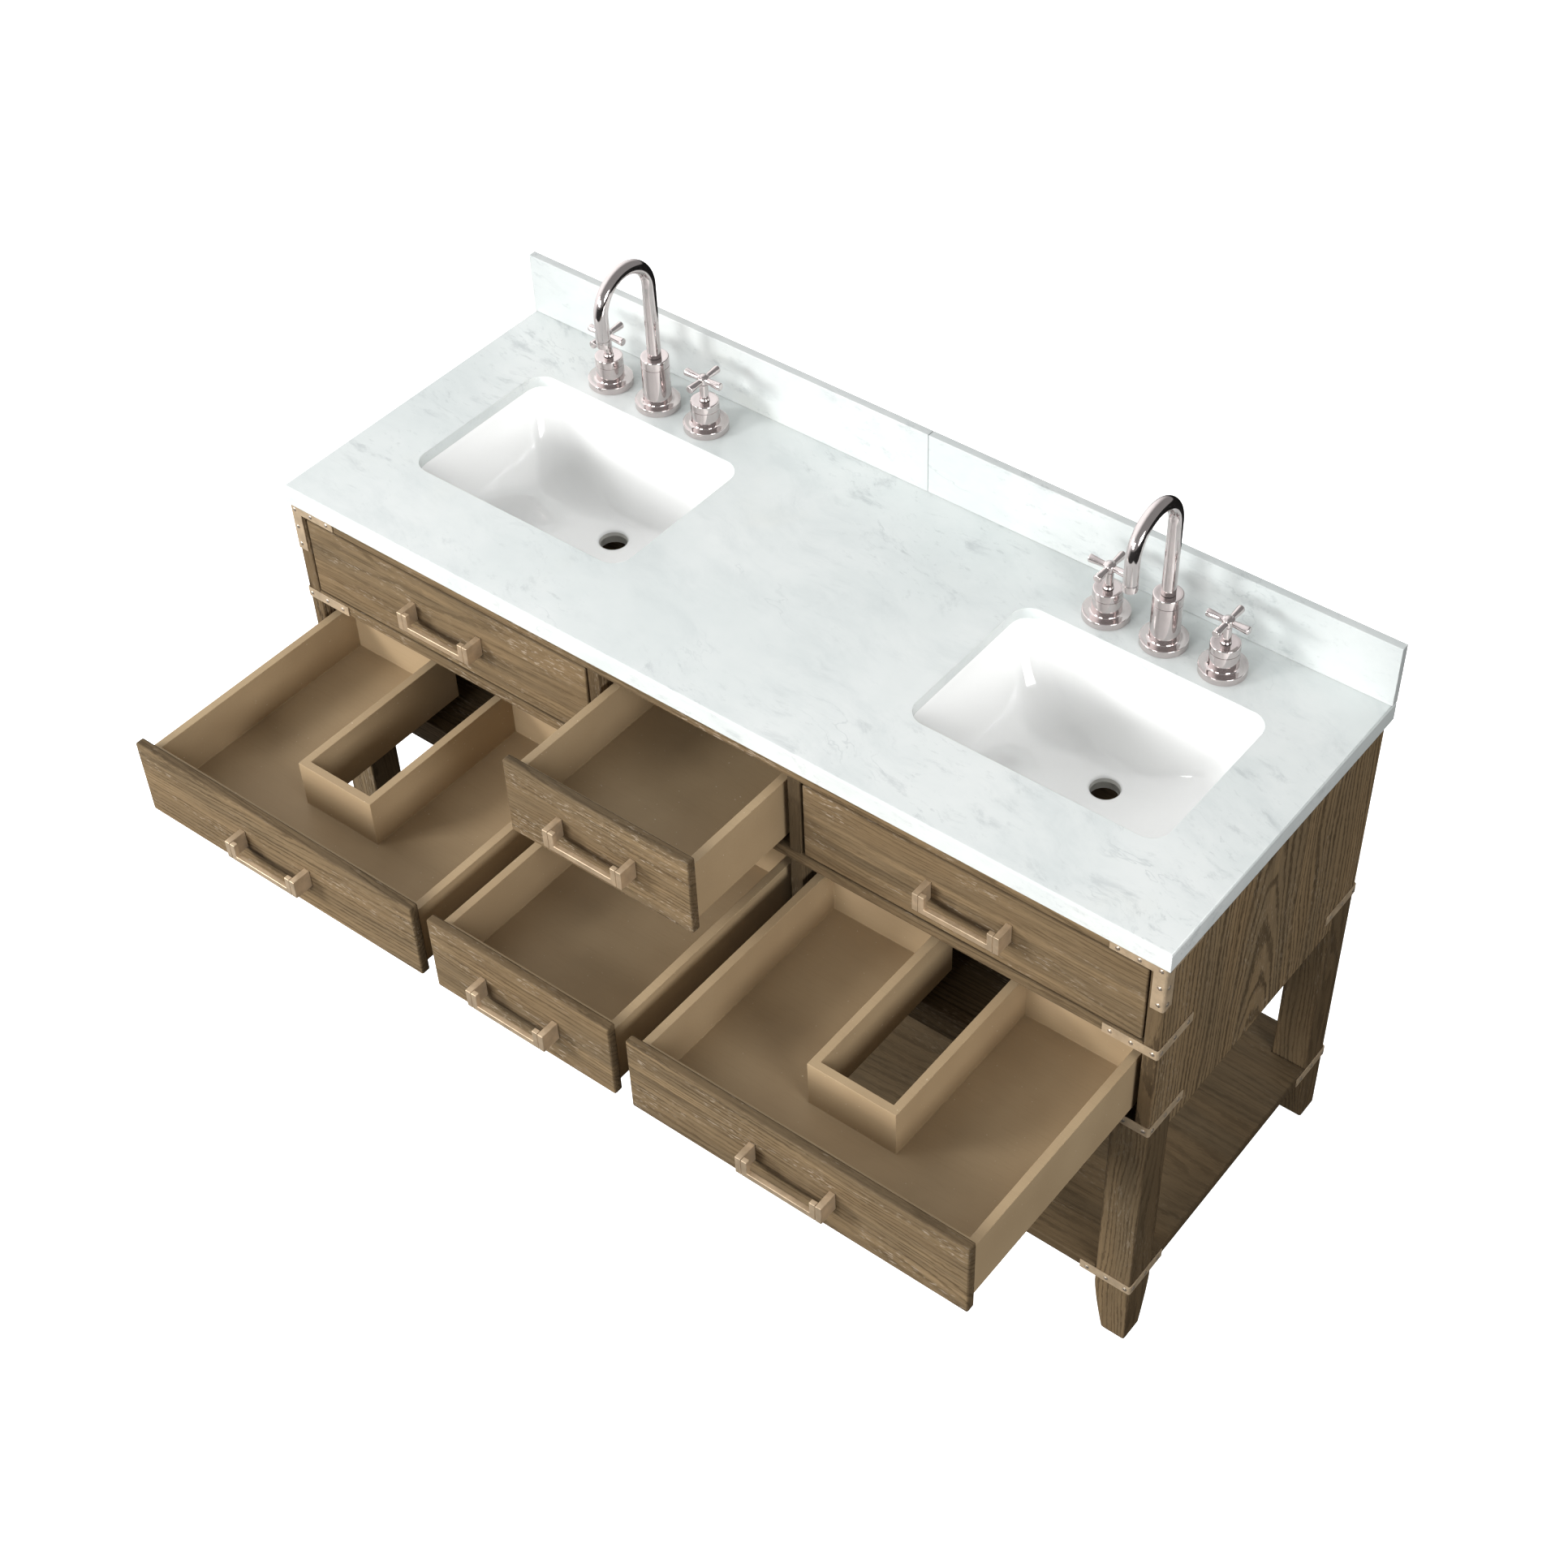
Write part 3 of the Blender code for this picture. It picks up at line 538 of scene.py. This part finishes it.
def add_box(bm, lo, hi, material=0):
    """Add a plain box between two corners."""
    made = bmesh.ops.create_cube(bm, size=1.0)
    centre = (Vector(lo) + Vector(hi)) / 2
    size = Vector(hi) - Vector(lo)
    for vert in made["verts"]:
        vert.co = Vector(a * b for a, b in zip(vert.co, size)) + centre
    for face in {face for vert in made["verts"] for face in vert.link_faces}:
        face.material_index = material


# ---------------------------------------------------------------- wood


def board(node, grain, face, seed, width=0.0016, **looks):
    """One wooden piece: the CAD shape with softened edges and its own cut of oak."""
    lo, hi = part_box(node)
    bm = from_cad(node)
    round_edges(bm, width)
    material = oak(node + "_oak", grain, face, seed, lo, hi, **looks)
    stand_for(new_object(node + "_oak", bm, [material]), node)


def leg(node, sx, back, seed):
    """Square leg with eased corners that sweeps in at the foot on its two inner faces."""
    lo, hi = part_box(node)
    size = hi.x - lo.x
    outer_x = hi.x if sx > 0 else lo.x
    outer_y = hi.y if back else lo.y
    sy = 1 if back else -1
    heights = [0.0, 0.0012, FOOT_PINCH_HEIGHT]
    heights += [FOOT_HEIGHT * step / 14 for step in range(1, 15)]
    heights += [0.12, 0.3, hi.z - 0.002, hi.z]
    rings = []
    for z in sorted(heights):
        inset = FOOT_SWEEP * max(0.0, 1 - z / FOOT_HEIGHT) ** 1.35
        pinch = FOOT_PINCH * max(0.0, 1 - z / FOOT_PINCH_HEIGHT) ** 2
        wide = size - inset
        loop = rounded_loop(0, 0, wide - 2 * pinch, wide - 2 * pinch, LEG_EASE, z, 4, 3)
        shift = Vector((outer_x - sx * wide / 2, outer_y - sy * wide / 2, 0))
        rings.append([point + shift for point in loop])
    bm = bmesh.new()
    add_rings(bm, rings)
    material = oak(node + "_oak", "Z", "Y", seed, lo, hi, **LEG_CUT_AND_PAINTED_SHADE)
    stand_for(new_object(node + "_oak", bm, [material]), node)


def make_wood():
    """Every oak piece of the body."""
    for number, (sx, side) in enumerate(SIDES):
        false_cut = {"tone": 0.95, "aside": 0.09 * sx, "bold": 0.40}
        drawer_cut = {"tilt": 0.06, "aside": 0.08 * sx, "bold": 0.6}
        board(f"false_front_{side}", "X", "Y", 1.3 + number, 0.0026, **false_cut)
        board(f"drawer_front_{side}", "X", "Y", 4.1 + number, 0.0030, **drawer_cut)
        board(f"side_panel_{side}", "Z", "X", 7.7 + number, 0.0018, **SIDE_CUT_AND_PAINTED_LIGHT)
        board(f"divider_{side}", "Z", "X", 9.2 + number, 0.0015, tone=0.85)
        leg(f"leg_front_{side}", sx, False, 11.4 + number)
        leg(f"leg_back_{side}", sx, True, 13.9 + number)
    board("drawer_front_centre_upper", "X", "Y", 6.6, 0.0030, tilt=0.04)
    board("drawer_front_centre_lower", "X", "Y", 6.1, 0.0030)
    board("top_rail", "X", "Y", 16.0, tone=0.95)
    board("middle_rail", "X", "Y", 17.0, tone=0.95)
    board("bottom_rail", "X", "Y", 18.0, tone=0.9)
    board("cabinet_floor", "X", "Z", 19.0, tone=0.62)
    board("back_panel", "X", "Y", 20.0, tone=0.72)
    board("shelf", "X", "Z", 21.0, 0.0025, **SHELF_CUT_AND_PAINTED_SHADE)


def make_boxes():
    """Painted drawer boxes with eased edges."""
    for number, label in enumerate(("left", "right", "centre_upper", "centre_lower")):
        node = "drawer_box_" + label
        bm = from_cad(node)
        round_edges(bm, 0.0009, 2)
        material = tan_paint(node + "_paint", 2.3 * number)
        stand_for(new_object(node + "_painted", bm, [material]), node)


# ---------------------------------------------------------------- metal


def sheet(bm, columns, rows, keep, thickness):
    """Closed sheet from a grid of cells. A column is (outer point, outward direction)."""
    verts = {}

    def vert(column, row, inner):
        key = (column, row, inner)
        if key not in verts:
            point, outward = columns[column]
            spot = Vector(point) - Vector(outward) * (thickness if inner else 0.0)
            verts[key] = bm.verts.new((spot.x, spot.y, rows[row]))
        return verts[key]

    cells = {(c, r) for c in range(len(columns) - 1) for r in range(len(rows) - 1) if keep(c, r)}
    for c, r in cells:
        for inner in (False, True):
            around = ((c, r), (c + 1, r), (c + 1, r + 1), (c, r + 1))
            bm.faces.new([vert(*spot, inner) for spot in around])
        for (dc, dr), ends in (
            ((-1, 0), ((c, r), (c, r + 1))),
            ((1, 0), ((c + 1, r), (c + 1, r + 1))),
            ((0, -1), ((c, r), (c + 1, r))),
            ((0, 1), ((c, r + 1), (c + 1, r + 1))),
        ):
            if (c + dc, r + dr) not in cells:
                first, second = ends
                outer_edge = [vert(*first, False), vert(*second, False)]
                bm.faces.new(outer_edge + [vert(*second, True), vert(*first, True)])


def add_rivet(bm, point, outward):
    """Domed rivet in a shallow pressed ring."""
    turn = Vector((0, 0, 1)).rotation_difference(Vector(outward)).to_matrix()
    profile = [
        (0.0037, -0.0002),
        (0.0037, 0.00012),
        (0.0034, 0.00030),
        (0.0030, 0.00022),
        (0.0027, 0.00030),
        (0.0024, 0.00070),
        (0.0016, 0.00098),
        (0.0008, 0.00108),
        (0.0, 0.0011),
    ]
    add_lathe(bm, point, profile, 20, 1, turn)
    base = [vert for vert in bm.verts if len(vert.link_faces) == 2]
    ring = [vert for vert in base if (vert.co - Vector(point)).length < 0.0045]
    bm.faces.new(ring).material_index = 1


def strap(node, sx, back, leaf=None):
    """Corner strap bent round the body, with three rivets on each arm. leaf is the height of
    the band's lower edge where a leaf with two more rivets hangs down at the corner."""
    lo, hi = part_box(node)
    sy = 1 if back else -1
    corner_x = hi.x - RIVET_RISE if sx > 0 else lo.x + RIVET_RISE
    corner_y = hi.y - RIVET_RISE if back else lo.y + RIVET_RISE
    corner = Vector((corner_x, corner_y))
    reach_x = abs((lo.x if sx > 0 else hi.x) - corner.x)
    reach_y = abs((lo.y if back else hi.y) - corner.y)
    leaf_edge = [LEAF_WIDTH] if leaf else []
    out_x = Vector((sx, 0, 0))
    out_y = Vector((0, sy, 0))
    columns = []
    for away in [reach_x] + leaf_edge:
        columns.append((Vector((corner.x - sx * away, corner.y, 0)), out_y))
    pivot = Vector((corner.x - sx * STRAP_BEND, corner.y - sy * STRAP_BEND, 0))
    for step in range(7):
        angle = math.pi / 2 * step / 6
        outward = out_y * math.cos(angle) + out_x * math.sin(angle)
        columns.append((pivot + outward * STRAP_BEND, outward))
    for away in leaf_edge + [reach_y]:
        columns.append((Vector((corner.x, corner.y - sy * away, 0)), out_x))
    bm = bmesh.new()
    if leaf:
        rows = [lo.z, leaf, hi.z]
        last = len(columns) - 2
        sheet(bm, columns, rows, lambda c, r: r == 1 or 0 < c < last, STRAP_THICK)
        row_z = (leaf + hi.z) / 2
    else:
        sheet(bm, columns, [lo.z, hi.z], lambda c, r: True, STRAP_THICK)
        row_z = (lo.z + hi.z) / 2
    bmesh.ops.recalc_face_normals(bm, faces=bm.faces)
    round_edges(bm, 0.0005, 2, 60.0)
    spots = [(RIVET_FIRST + RIVET_PITCH * step, row_z) for step in range(3)]
    if leaf:
        spots += [(RIVET_FIRST, row_z - RIVET_PITCH * step) for step in (1, 2)]
    for away, z in spots:
        add_rivet(bm, (corner.x - sx * away, corner.y, z), out_y)
        add_rivet(bm, (corner.x, corner.y - sy * away, z), out_x)
    metal = bronze(node + "_metal", STRAP_BRONZE, 0.36, corner.x, 0.28)
    dome = bronze(node + "_rivets", RIVET_BRONZE, 0.24, corner.y, 0.8)
    stand_for(new_object(node + "_bent", bm, [metal, dome]), node)


def make_straps():
    """Top brackets, and straps at three levels in front and two at the back."""
    for sx, side in SIDES:
        bracket_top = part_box(f"bracket_top_{side}")[1].z
        strap(f"bracket_top_{side}", sx, False, leaf=bracket_top - BRACKET_BAND)
        for level in ("middle", "lower", "shelf"):
            strap(f"strap_{level}_{side}", sx, False)
        for level in ("lower", "shelf"):
            strap(f"strap_back_{level}_{side}", sx, True)


def make_pulls():
    """Square bridge pulls: post, groove and block at each end, bar along the bottom."""
    post, block, bar_deep, bar_high = 0.0093, 0.0092, 0.0075, 0.0097
    groove, recess = 0.0004, 0.0012
    fixed = ["false_left", "false_right"]
    sliding = ["drawer_left", "drawer_right", "drawer_centre_upper", "drawer_centre_lower"]
    for number, label in enumerate(fixed + sliding):
        node = "pull_" + label
        lo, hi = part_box(node)
        bm = bmesh.new()
        for low_x, high_x in ((lo.x, lo.x + post), (hi.x - post, hi.x)):
            add_box(bm, (low_x, lo.y, lo.z), (high_x, hi.y, hi.z))
        left = lo.x + post + groove
        right = hi.x - post - groove
        outline = [
            (left, lo.z),
            (right, lo.z),
            (right, hi.z),
            (right - block, hi.z),
            (right - block, lo.z + bar_high),
            (left + block, lo.z + bar_high),
            (left + block, hi.z),
            (left, hi.z),
        ]
        rings = [[Vector((x, y, z)) for x, z in outline] for y in (lo.y, lo.y + bar_deep)]
        add_rings(bm, rings)
        # Dark blocks sit in the grooves, set 1.2 mm in, as painted shade in the slits.
        for spot in (left - 2 * groove, right):
            low = (spot - 0.0002, lo.y + recess, lo.z + recess)
            high = (spot + 0.0010, lo.y + bar_deep - 0.001, hi.z - recess)
            add_box(bm, low, high, 1)
        bmesh.ops.recalc_face_normals(bm, faces=bm.faces)
        round_edges(bm, 0.0009, 3, 50.0, lambda edge: edge.link_faces[0].material_index == 0)
        metal = bronze(node + "_metal", PULL_BRONZE, 0.28, number * 1.7, 0.52)
        groove_painted_shade = plain(node + "_groove", (0.05, 0.04, 0.03), 0.6, 0.5)
        stand_for(new_object(node + "_cast", bm, [metal, groove_painted_shade]), node)


# ---------------------------------------------------------------- taps

NICKEL = nickel("polished_nickel")
# Painted shade: a dark disc that closes the spout's bore a little way in.
OUTLET_PAINTED_SHADE = plain("outlet_painted_shade", (0.10, 0.09, 0.085), 0.5, 0.4)


def column(node, top_groove):
    """Flanged column with one turned groove near its top."""
    lo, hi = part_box(node)
    x, y = (lo.x + hi.x) / 2, (lo.y + hi.y) / 2
    foot, head = lo.z, hi.z
    flange = (hi.x - lo.x) / 2
    neck = COLUMN_RADIUS
    groove = head - top_groove
    brim = foot + FLANGE_THICK
    profile = [(0.0, foot), (flange - 0.0006, foot), (flange, foot + 0.0006)]
    profile += fillet((flange, brim - 0.0012), (flange, brim), (flange - 0.0012, brim))
    profile += [(neck + 0.0050, brim - 0.0012)]
    profile += fillet((neck + 0.0012, brim - 0.0010), (neck, brim - 0.0008), (neck, brim + 0.0010))
    profile += [(neck, groove - 0.0005), (neck - 0.0007, groove - 0.0002)]
    profile += [(neck - 0.0007, groove + 0.0006), (neck, groove + 0.0009)]
    profile += fillet((neck, head - 0.0018), (neck, head), (neck - 0.0018, head))
    profile += [(neck - 0.006, head - 0.0004), (0.0, head - 0.0004)]
    bm = bmesh.new()
    add_lathe(bm, (x, y, 0), profile)
    stand_for(new_object(node + "_turned", bm, [NICKEL], False), node)


def handle(node):
    """Cross handle: stem, domed hub and four spokes that swell towards their ends."""
    lo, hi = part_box(node)
    x, y = (lo.x + hi.x) / 2, (lo.y + hi.y) / 2
    hub = hi.z - 0.008
    bm = bmesh.new()
    profile = [(0.0, lo.z), (0.0078, lo.z)]
    profile += fillet((0.0078, lo.z + 0.001), (0.0068, lo.z + 0.002), (0.0066, lo.z + 0.004))
    profile += [(0.0064, hub - 0.012)]
    profile += fillet((0.0064, hub - 0.009), (0.0066, hub - 0.006), (0.0088, hub - 0.005))
    profile += fillet((0.0090, hub + 0.0035), (0.0090, hub + 0.0052), (0.0074, hub + 0.0056))
    profile += fillet((0.0052, hub + 0.0062), (0.0046, hub + 0.0078), (0.0, hub + 0.0080), 5)
    add_lathe(bm, (x, y, 0), profile, 40)
    length = (hi.x - lo.x) / 2
    for step in range(4):
        outward = Vector((math.cos(math.pi / 2 * step), math.sin(math.pi / 2 * step), 0))
        turn = Vector((0, 0, 1)).rotation_difference(outward).to_matrix()
        spoke = [(0.0, 0.002), (0.0046, 0.002), (0.0045, 0.008), (0.0049, 0.016), (0.0056, 0.024)]
        spoke += [(0.0060, length - 0.003)]
        spoke += fillet((0.0060, length - 0.0016), (0.0060, length), (0.0044, length))
        spoke += [(0.0, length)]
        add_lathe(bm, (x, y, hub), spoke, 28, 0, turn)
    stand_for(new_object(node + "_turned", bm, [NICKEL], False), node)


def gooseneck(node):
    """Bent pipe with a fine groove above its outlet, a short bore closed by a dark disc of painted
    shade.
    """
    lo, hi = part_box(node)
    x = (lo.x + hi.x) / 2
    y0 = hi.y - SPOUT_RADIUS
    y1 = lo.y + SPOUT_RADIUS
    arch = (y0 - y1) / 2
    spring = hi.z - arch - SPOUT_RADIUS
    tip = spring - OUTLET_DROP
    # a row of the pipe is its y, its z and how far it has turned over
    path = [(y0, z, 0.0) for z in (lo.z, lo.z + 0.003, spring - 0.03, spring - 0.002)]
    for step in range(33):
        angle = math.pi * step / 32
        path.append((y0 - arch + arch * math.cos(angle), spring + arch * math.sin(angle), angle))
    path += [(y1, spring - 0.015, math.pi), (y1, tip + 0.0126, math.pi)]
    # a step of the outlet is its height over the tip and how much narrower the pipe is there
    groove = [(0.0124, 0.0), (0.0121, 0.0006), (0.0114, 0.0006), (0.0111, 0.0)]
    lip = [(0.0010, 0.0), (0.0003, 0.0003), (0.0, 0.0010)]
    mouth = [(0.0, 0.0024), (0.0006, 0.0028), (0.009, 0.0028)]
    rows = [(y, z, angle, SPOUT_RADIUS) for y, z, angle in path]
    for rise, less in groove + lip + mouth:
        rows.append((y1, tip + rise, math.pi, SPOUT_RADIUS - less))
    rings = []
    for y, z, angle, size in rows:
        loop = []
        for side in range(32):
            turn = 2 * math.pi * side / 32
            a, b = size * math.cos(turn), size * math.sin(turn)
            loop.append(Vector((x + a, y + b * math.cos(angle), z + b * math.sin(angle))))
        rings.append(loop)
    bm = bmesh.new()
    faces = add_rings(bm, rings)
    # The disc that closes the bore is painted shade.
    faces[-1].material_index = 1
    stand_for(new_object(node + "_bent", bm, [NICKEL, OUTLET_PAINTED_SHADE], False), node)


def make_taps():
    """Both three-hole taps: a spout in the middle, the hot and the cold valve beside it."""
    for _, side in SIDES:
        column(f"spout_base_{side}", top_groove=0.0150)
        gooseneck(f"spout_{side}")
        for kind in ("hot", "cold"):
            column(f"{kind}_valve_{side}", top_groove=0.0130)
            handle(f"{kind}_handle_{side}")


# ---------------------------------------------------------------- stone and ceramic


def bake_modifiers(obj):
    """The mesh that an object's modifiers make."""
    graph = bpy.context.evaluated_depsgraph_get()
    return bpy.data.meshes.new_from_object(obj.evaluated_get(graph))


def make_top():
    """Marble slab with finely rounded cut-outs, a pocket under each and an eased edge."""
    lo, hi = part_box("countertop")
    bm = bmesh.new()
    add_box(bm, lo, hi)
    slab = new_object("slab", bm, [], False)
    tools = []
    for _, side in SIDES:
        low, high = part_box(f"sink_bowl_{side}")
        x, y = (low.x + high.x) / 2, (low.y + high.y) / 2
        # width, depth, corner radius and top of the cut-out, then of the pocket under it
        holes = ((0.399, 0.280, 0.030, hi.z + 0.01), (0.440, 0.321, 0.045, high.z + 0.0003))
        for width, depth, radius, top in holes:
            bm = bmesh.new()
            ends = (lo.z - 0.01, top)
            add_rings(bm, [rounded_loop(x, y, width, depth, radius, z, 14, 1) for z in ends])
            tool = new_object("tool", bm, [], False)
            cut = slab.modifiers.new("cut", "BOOLEAN")
            cut.operation = "DIFFERENCE"
            cut.solver = "EXACT"
            cut.object = tool
            tools.append(tool)
    bpy.context.view_layer.update()
    mesh = bake_modifiers(slab)
    for obj in [slab, *tools]:
        bpy.data.objects.remove(obj)
    bm = bmesh.new()
    bm.from_mesh(mesh)
    bmesh.ops.remove_doubles(bm, verts=bm.verts, dist=0.00001)
    bmesh.ops.dissolve_limit(bm, angle_limit=math.radians(0.4), verts=bm.verts, edges=bm.edges)

    def outer_top(edge):
        for spot in (vert.co for vert in edge.verts):
            inside = min(spot.x - lo.x, hi.x - spot.x, spot.y - lo.y, hi.y - spot.y)
            if spot.z <= hi.z - 0.0001 or inside >= 0.0001:
                return False
        return True

    round_edges(bm, 0.0034, 4, 60.0, outer_top)
    round_edges(bm, 0.0012, 2, 70.0)
    stand_for(new_object("countertop_marble", bm, [marble("marble_top")]), "countertop")


def make_backsplashes():
    """The two lengths of marble along the wall."""
    for number, (_, side) in enumerate(SIDES):
        node = "backsplash_" + side
        bm = from_cad(node)
        round_edges(bm, 0.0010, 2)
        material = marble(node + "_marble", 3.0 + 2.2 * number, 0.86)
        stand_for(new_object(node + "_marble", bm, [material]), node)


def spline(p0, p1, p2, p3, t):
    """Catmull-Rom curve from p1 at t = 0 to p2 at t = 1."""
    linear = (p2 - p0) * t
    square = (2 * p0 - 5 * p1 + 4 * p2 - p3) * t * t
    cubic = (3 * p1 - p0 - 3 * p2 + p3) * t**3
    return 0.5 * (2 * p1 + linear + square + cubic)


def blend_rows(rows, per_span):
    """Smooth curve through rows of numbers, with per_span steps from each row to the next."""
    out = []
    count = len(rows)
    for index in range(count - 1):
        p0 = rows[max(index - 1, 0)]
        p1, p2 = rows[index], rows[index + 1]
        p3 = rows[min(index + 2, count - 1)]
        for step in range(per_span):
            t = step / per_span
            out.append(tuple(spline(*column, t) for column in zip(p0, p1, p2, p3)))
    out.append(rows[-1])
    return out


def drain_row(drop, across):
    """A round row of the drain, in the same five numbers as the rows in make_bowl."""
    return (drop, across, across, across / 2 - 0.0001, DRAIN_BACK)


def make_bowl(node):
    """Undermount bowl: steep walls, a floor that falls to the drain, and a plain drain neck."""
    lo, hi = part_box(node)
    x, y = (lo.x + hi.x) / 2, (lo.y + hi.y) / 2
    height = hi.z - lo.z
    # drop, width, depth, corner radius, shift towards the back
    rows = [
        (0.0000, 0.405, 0.286, 0.033, 0.000),
        (0.0200, 0.399, 0.281, 0.035, 0.001),
        (0.0400, 0.388, 0.273, 0.039, 0.002),
        (0.0650, 0.370, 0.259, 0.046, 0.004),
        (0.0900, 0.346, 0.244, 0.055, 0.008),
        (0.1130, 0.312, 0.220, 0.060, 0.014),
        (0.1300, 0.270, 0.190, 0.062, 0.022),
        (0.1430, 0.212, 0.154, 0.058, 0.033),
        (0.1520, 0.150, 0.120, 0.050, 0.045),
        (0.1575, 0.092, 0.084, 0.038, 0.055),
    ]
    inner = [(0.0, 0.4066, 0.2876, 0.0338, 0.0)] + blend_rows(rows, 4)[1:]
    neck = [(0.1592, 0.0640, 0.0630, 0.0312, 0.0600), (0.1600, 0.0520, 0.0520, 0.0258, 0.0608)]
    neck += [drain_row(0.1612, 0.0460), drain_row(0.1640, DRAIN_BORE)]
    tube = [drain_row(0.1690, DRAIN_BORE), drain_row(0.1696, DRAIN_RIDGE)]
    tube += [drain_row(0.1708, DRAIN_RIDGE), drain_row(0.1714, DRAIN_BORE)]
    tube += [drain_row(height, DRAIN_BORE)]
    outer = [drain_row(height, DRAIN_OUTSIDE), drain_row(0.1720, DRAIN_OUTSIDE)]
    for drop, wide, deep, radius, shift in reversed(blend_rows(rows, 2)):
        both = 2 * BOWL_WALL
        outer.append((drop + BOWL_WALL, wide + both, deep + both, radius + BOWL_WALL, shift))
    flange = [
        (BOWL_WALL, 0.430, 0.311, 0.040, 0.0),
        (BOWL_WALL - 0.002, 0.434, 0.315, 0.042, 0.0),
        (0.0015, 0.434, 0.315, 0.042, 0.0),
        (0.0, 0.431, 0.312, 0.0405, 0.0),
    ]
    rings = []
    for drop, wide, deep, radius, shift in inner + neck + tube + outer + flange:
        rings.append(rounded_loop(x, y + shift, wide, deep, radius, hi.z - drop, 8, 7))
    bm = bmesh.new()
    faces = add_rings(bm, rings, torus=True)
    count = len(rings[0])
    start = (len(inner) + len(neck) - 1) * count
    # The drain bore is coloured grey, darker than the glaze.
    for face in faces[start : start + len(tube) * count]:
        face.material_index = 1
    glaze = ceramic(node + "_glaze")
    grey_bore = plain(node + "_neck", (0.62, 0.61, 0.57), 0.30)
    obj = new_object(node + "_cast", bm, [glaze, grey_bore], False)
    obj.data.set_sharp_from_angle(angle=math.radians(75))
    stand_for(obj, node)


# ---------------------------------------------------------------- studio


def look_at(obj, target):
    """Point a light at a place."""
    obj.rotation_euler = (Vector(target) - obj.location).to_track_quat("-Z", "Y").to_euler()


def area(name, place, target, size, power):
    """A white softbox of a size in metres and a power in watts."""
    light = bpy.data.lights.new(name, "AREA")
    light.shape = "RECTANGLE"
    light.size, light.size_y = size
    light.energy = power
    obj = bpy.data.objects.new(name, light)
    obj.location = place
    bpy.context.scene.collection.objects.link(obj)
    look_at(obj, target)


def make_studio():
    """White floor that neither colours nor mirrors in the object, sky and three softboxes."""
    bpy.ops.mesh.primitive_plane_add(size=60, location=(0, 0, -0.0005))
    floor = bpy.context.object
    floor.name = "studio_floor"
    g = Graph("studio_floor")
    g.finish((0.93, 0.93, 0.93), 0.9)
    g.shader.inputs["Specular IOR Level"].default_value = 0.0
    g.shader.inputs["Emission Color"].default_value = (1, 1, 1, 1)
    g.shader.inputs["Emission Strength"].default_value = 1.0
    floor.data.materials.append(g.material)
    floor.visible_diffuse = False
    floor.visible_glossy = False
    make_sky()
    area("front", (0.0, -5.4, 2.4), (0, 0, 0.6), (2.0, 1.4), 202)
    area("key", (-2.3, -2.85, 2.15), (-0.2, -0.2, 0.6), (1.0, 0.8), 94)
    area("right", (4.6, -1.6, 2.2), (0, 0, 0.6), (2.0, 1.4), 130)


def make_sky():
    """Soft room light: a dim even sky with a broad glow from the left."""
    world = bpy.data.worlds.new("studio")
    bpy.context.scene.world = world
    world.use_nodes = True
    tree = world.node_tree
    ray = tree.nodes.new("ShaderNodeTexCoord").outputs["Generated"]
    total = None
    # direction, where across it the light begins and is full, and its strength
    lobes = (
        ((0.0, 0.0, 1.0), -0.05, 0.05, 0.29),
        ((-0.96, 0.0, 0.27), 0.20, 0.90, 1.32),
    )
    for direction, low, high, strength in lobes:
        dot = tree.nodes.new("ShaderNodeVectorMath")
        dot.operation = "DOT_PRODUCT"
        dot.inputs[1].default_value = direction
        tree.links.new(ray, dot.inputs[0])
        span = tree.nodes.new("ShaderNodeMapRange")
        span.interpolation_type = "SMOOTHSTEP"
        for index, number in ((1, low), (2, high), (3, 0.0), (4, strength)):
            span.inputs[index].default_value = number
        tree.links.new(dot.outputs["Value"], span.inputs[0])
        if total is None:
            total = span.outputs[0]
            continue
        add = tree.nodes.new("ShaderNodeMath")
        tree.links.new(total, add.inputs[0])
        tree.links.new(span.outputs[0], add.inputs[1])
        total = add.outputs[0]
    tree.links.new(total, tree.nodes["Background"].inputs["Color"])


def make_camera():
    """A long lens that looks down on the front right corner."""
    data = bpy.data.cameras.new("camera")
    data.sensor_width = 36.0
    data.lens = 58.5659
    data.shift_x = -0.068781
    data.shift_y = 0.037169
    data.clip_start = 0.05
    data.clip_end = 100
    camera = bpy.data.objects.new("camera", data)
    bpy.context.scene.collection.objects.link(camera)
    slab_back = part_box("countertop")[1].y
    camera.location = (1.69705, -2.38884 + slab_back, 3.17925)
    turn, tip = math.radians(36.5593), math.radians(46.3379)
    level = Vector((math.sin(turn), -math.cos(turn), 0.0))
    back = level * math.cos(tip) + Vector((0.0, 0.0, math.sin(tip)))
    camera.rotation_mode = "QUATERNION"
    camera.rotation_quaternion = (-back).to_track_quat("-Z", "Y")
    bpy.context.scene.camera = camera


def main():
    """Clear what Blender starts with, then make the camera, the pieces and the studio."""
    for obj in list(bpy.data.objects):
        if obj.type in ("CAMERA", "LIGHT") or obj.name == "Cube":
            bpy.data.objects.remove(obj)
    make_camera()
    make_top()
    make_backsplashes()
    for _, side in SIDES:
        make_bowl(f"sink_bowl_{side}")
    make_wood()
    make_boxes()
    make_straps()
    make_pulls()
    make_taps()
    make_studio()
    bpy.context.scene.view_settings.view_transform = "Standard"
    bpy.context.view_layer.update()


main()
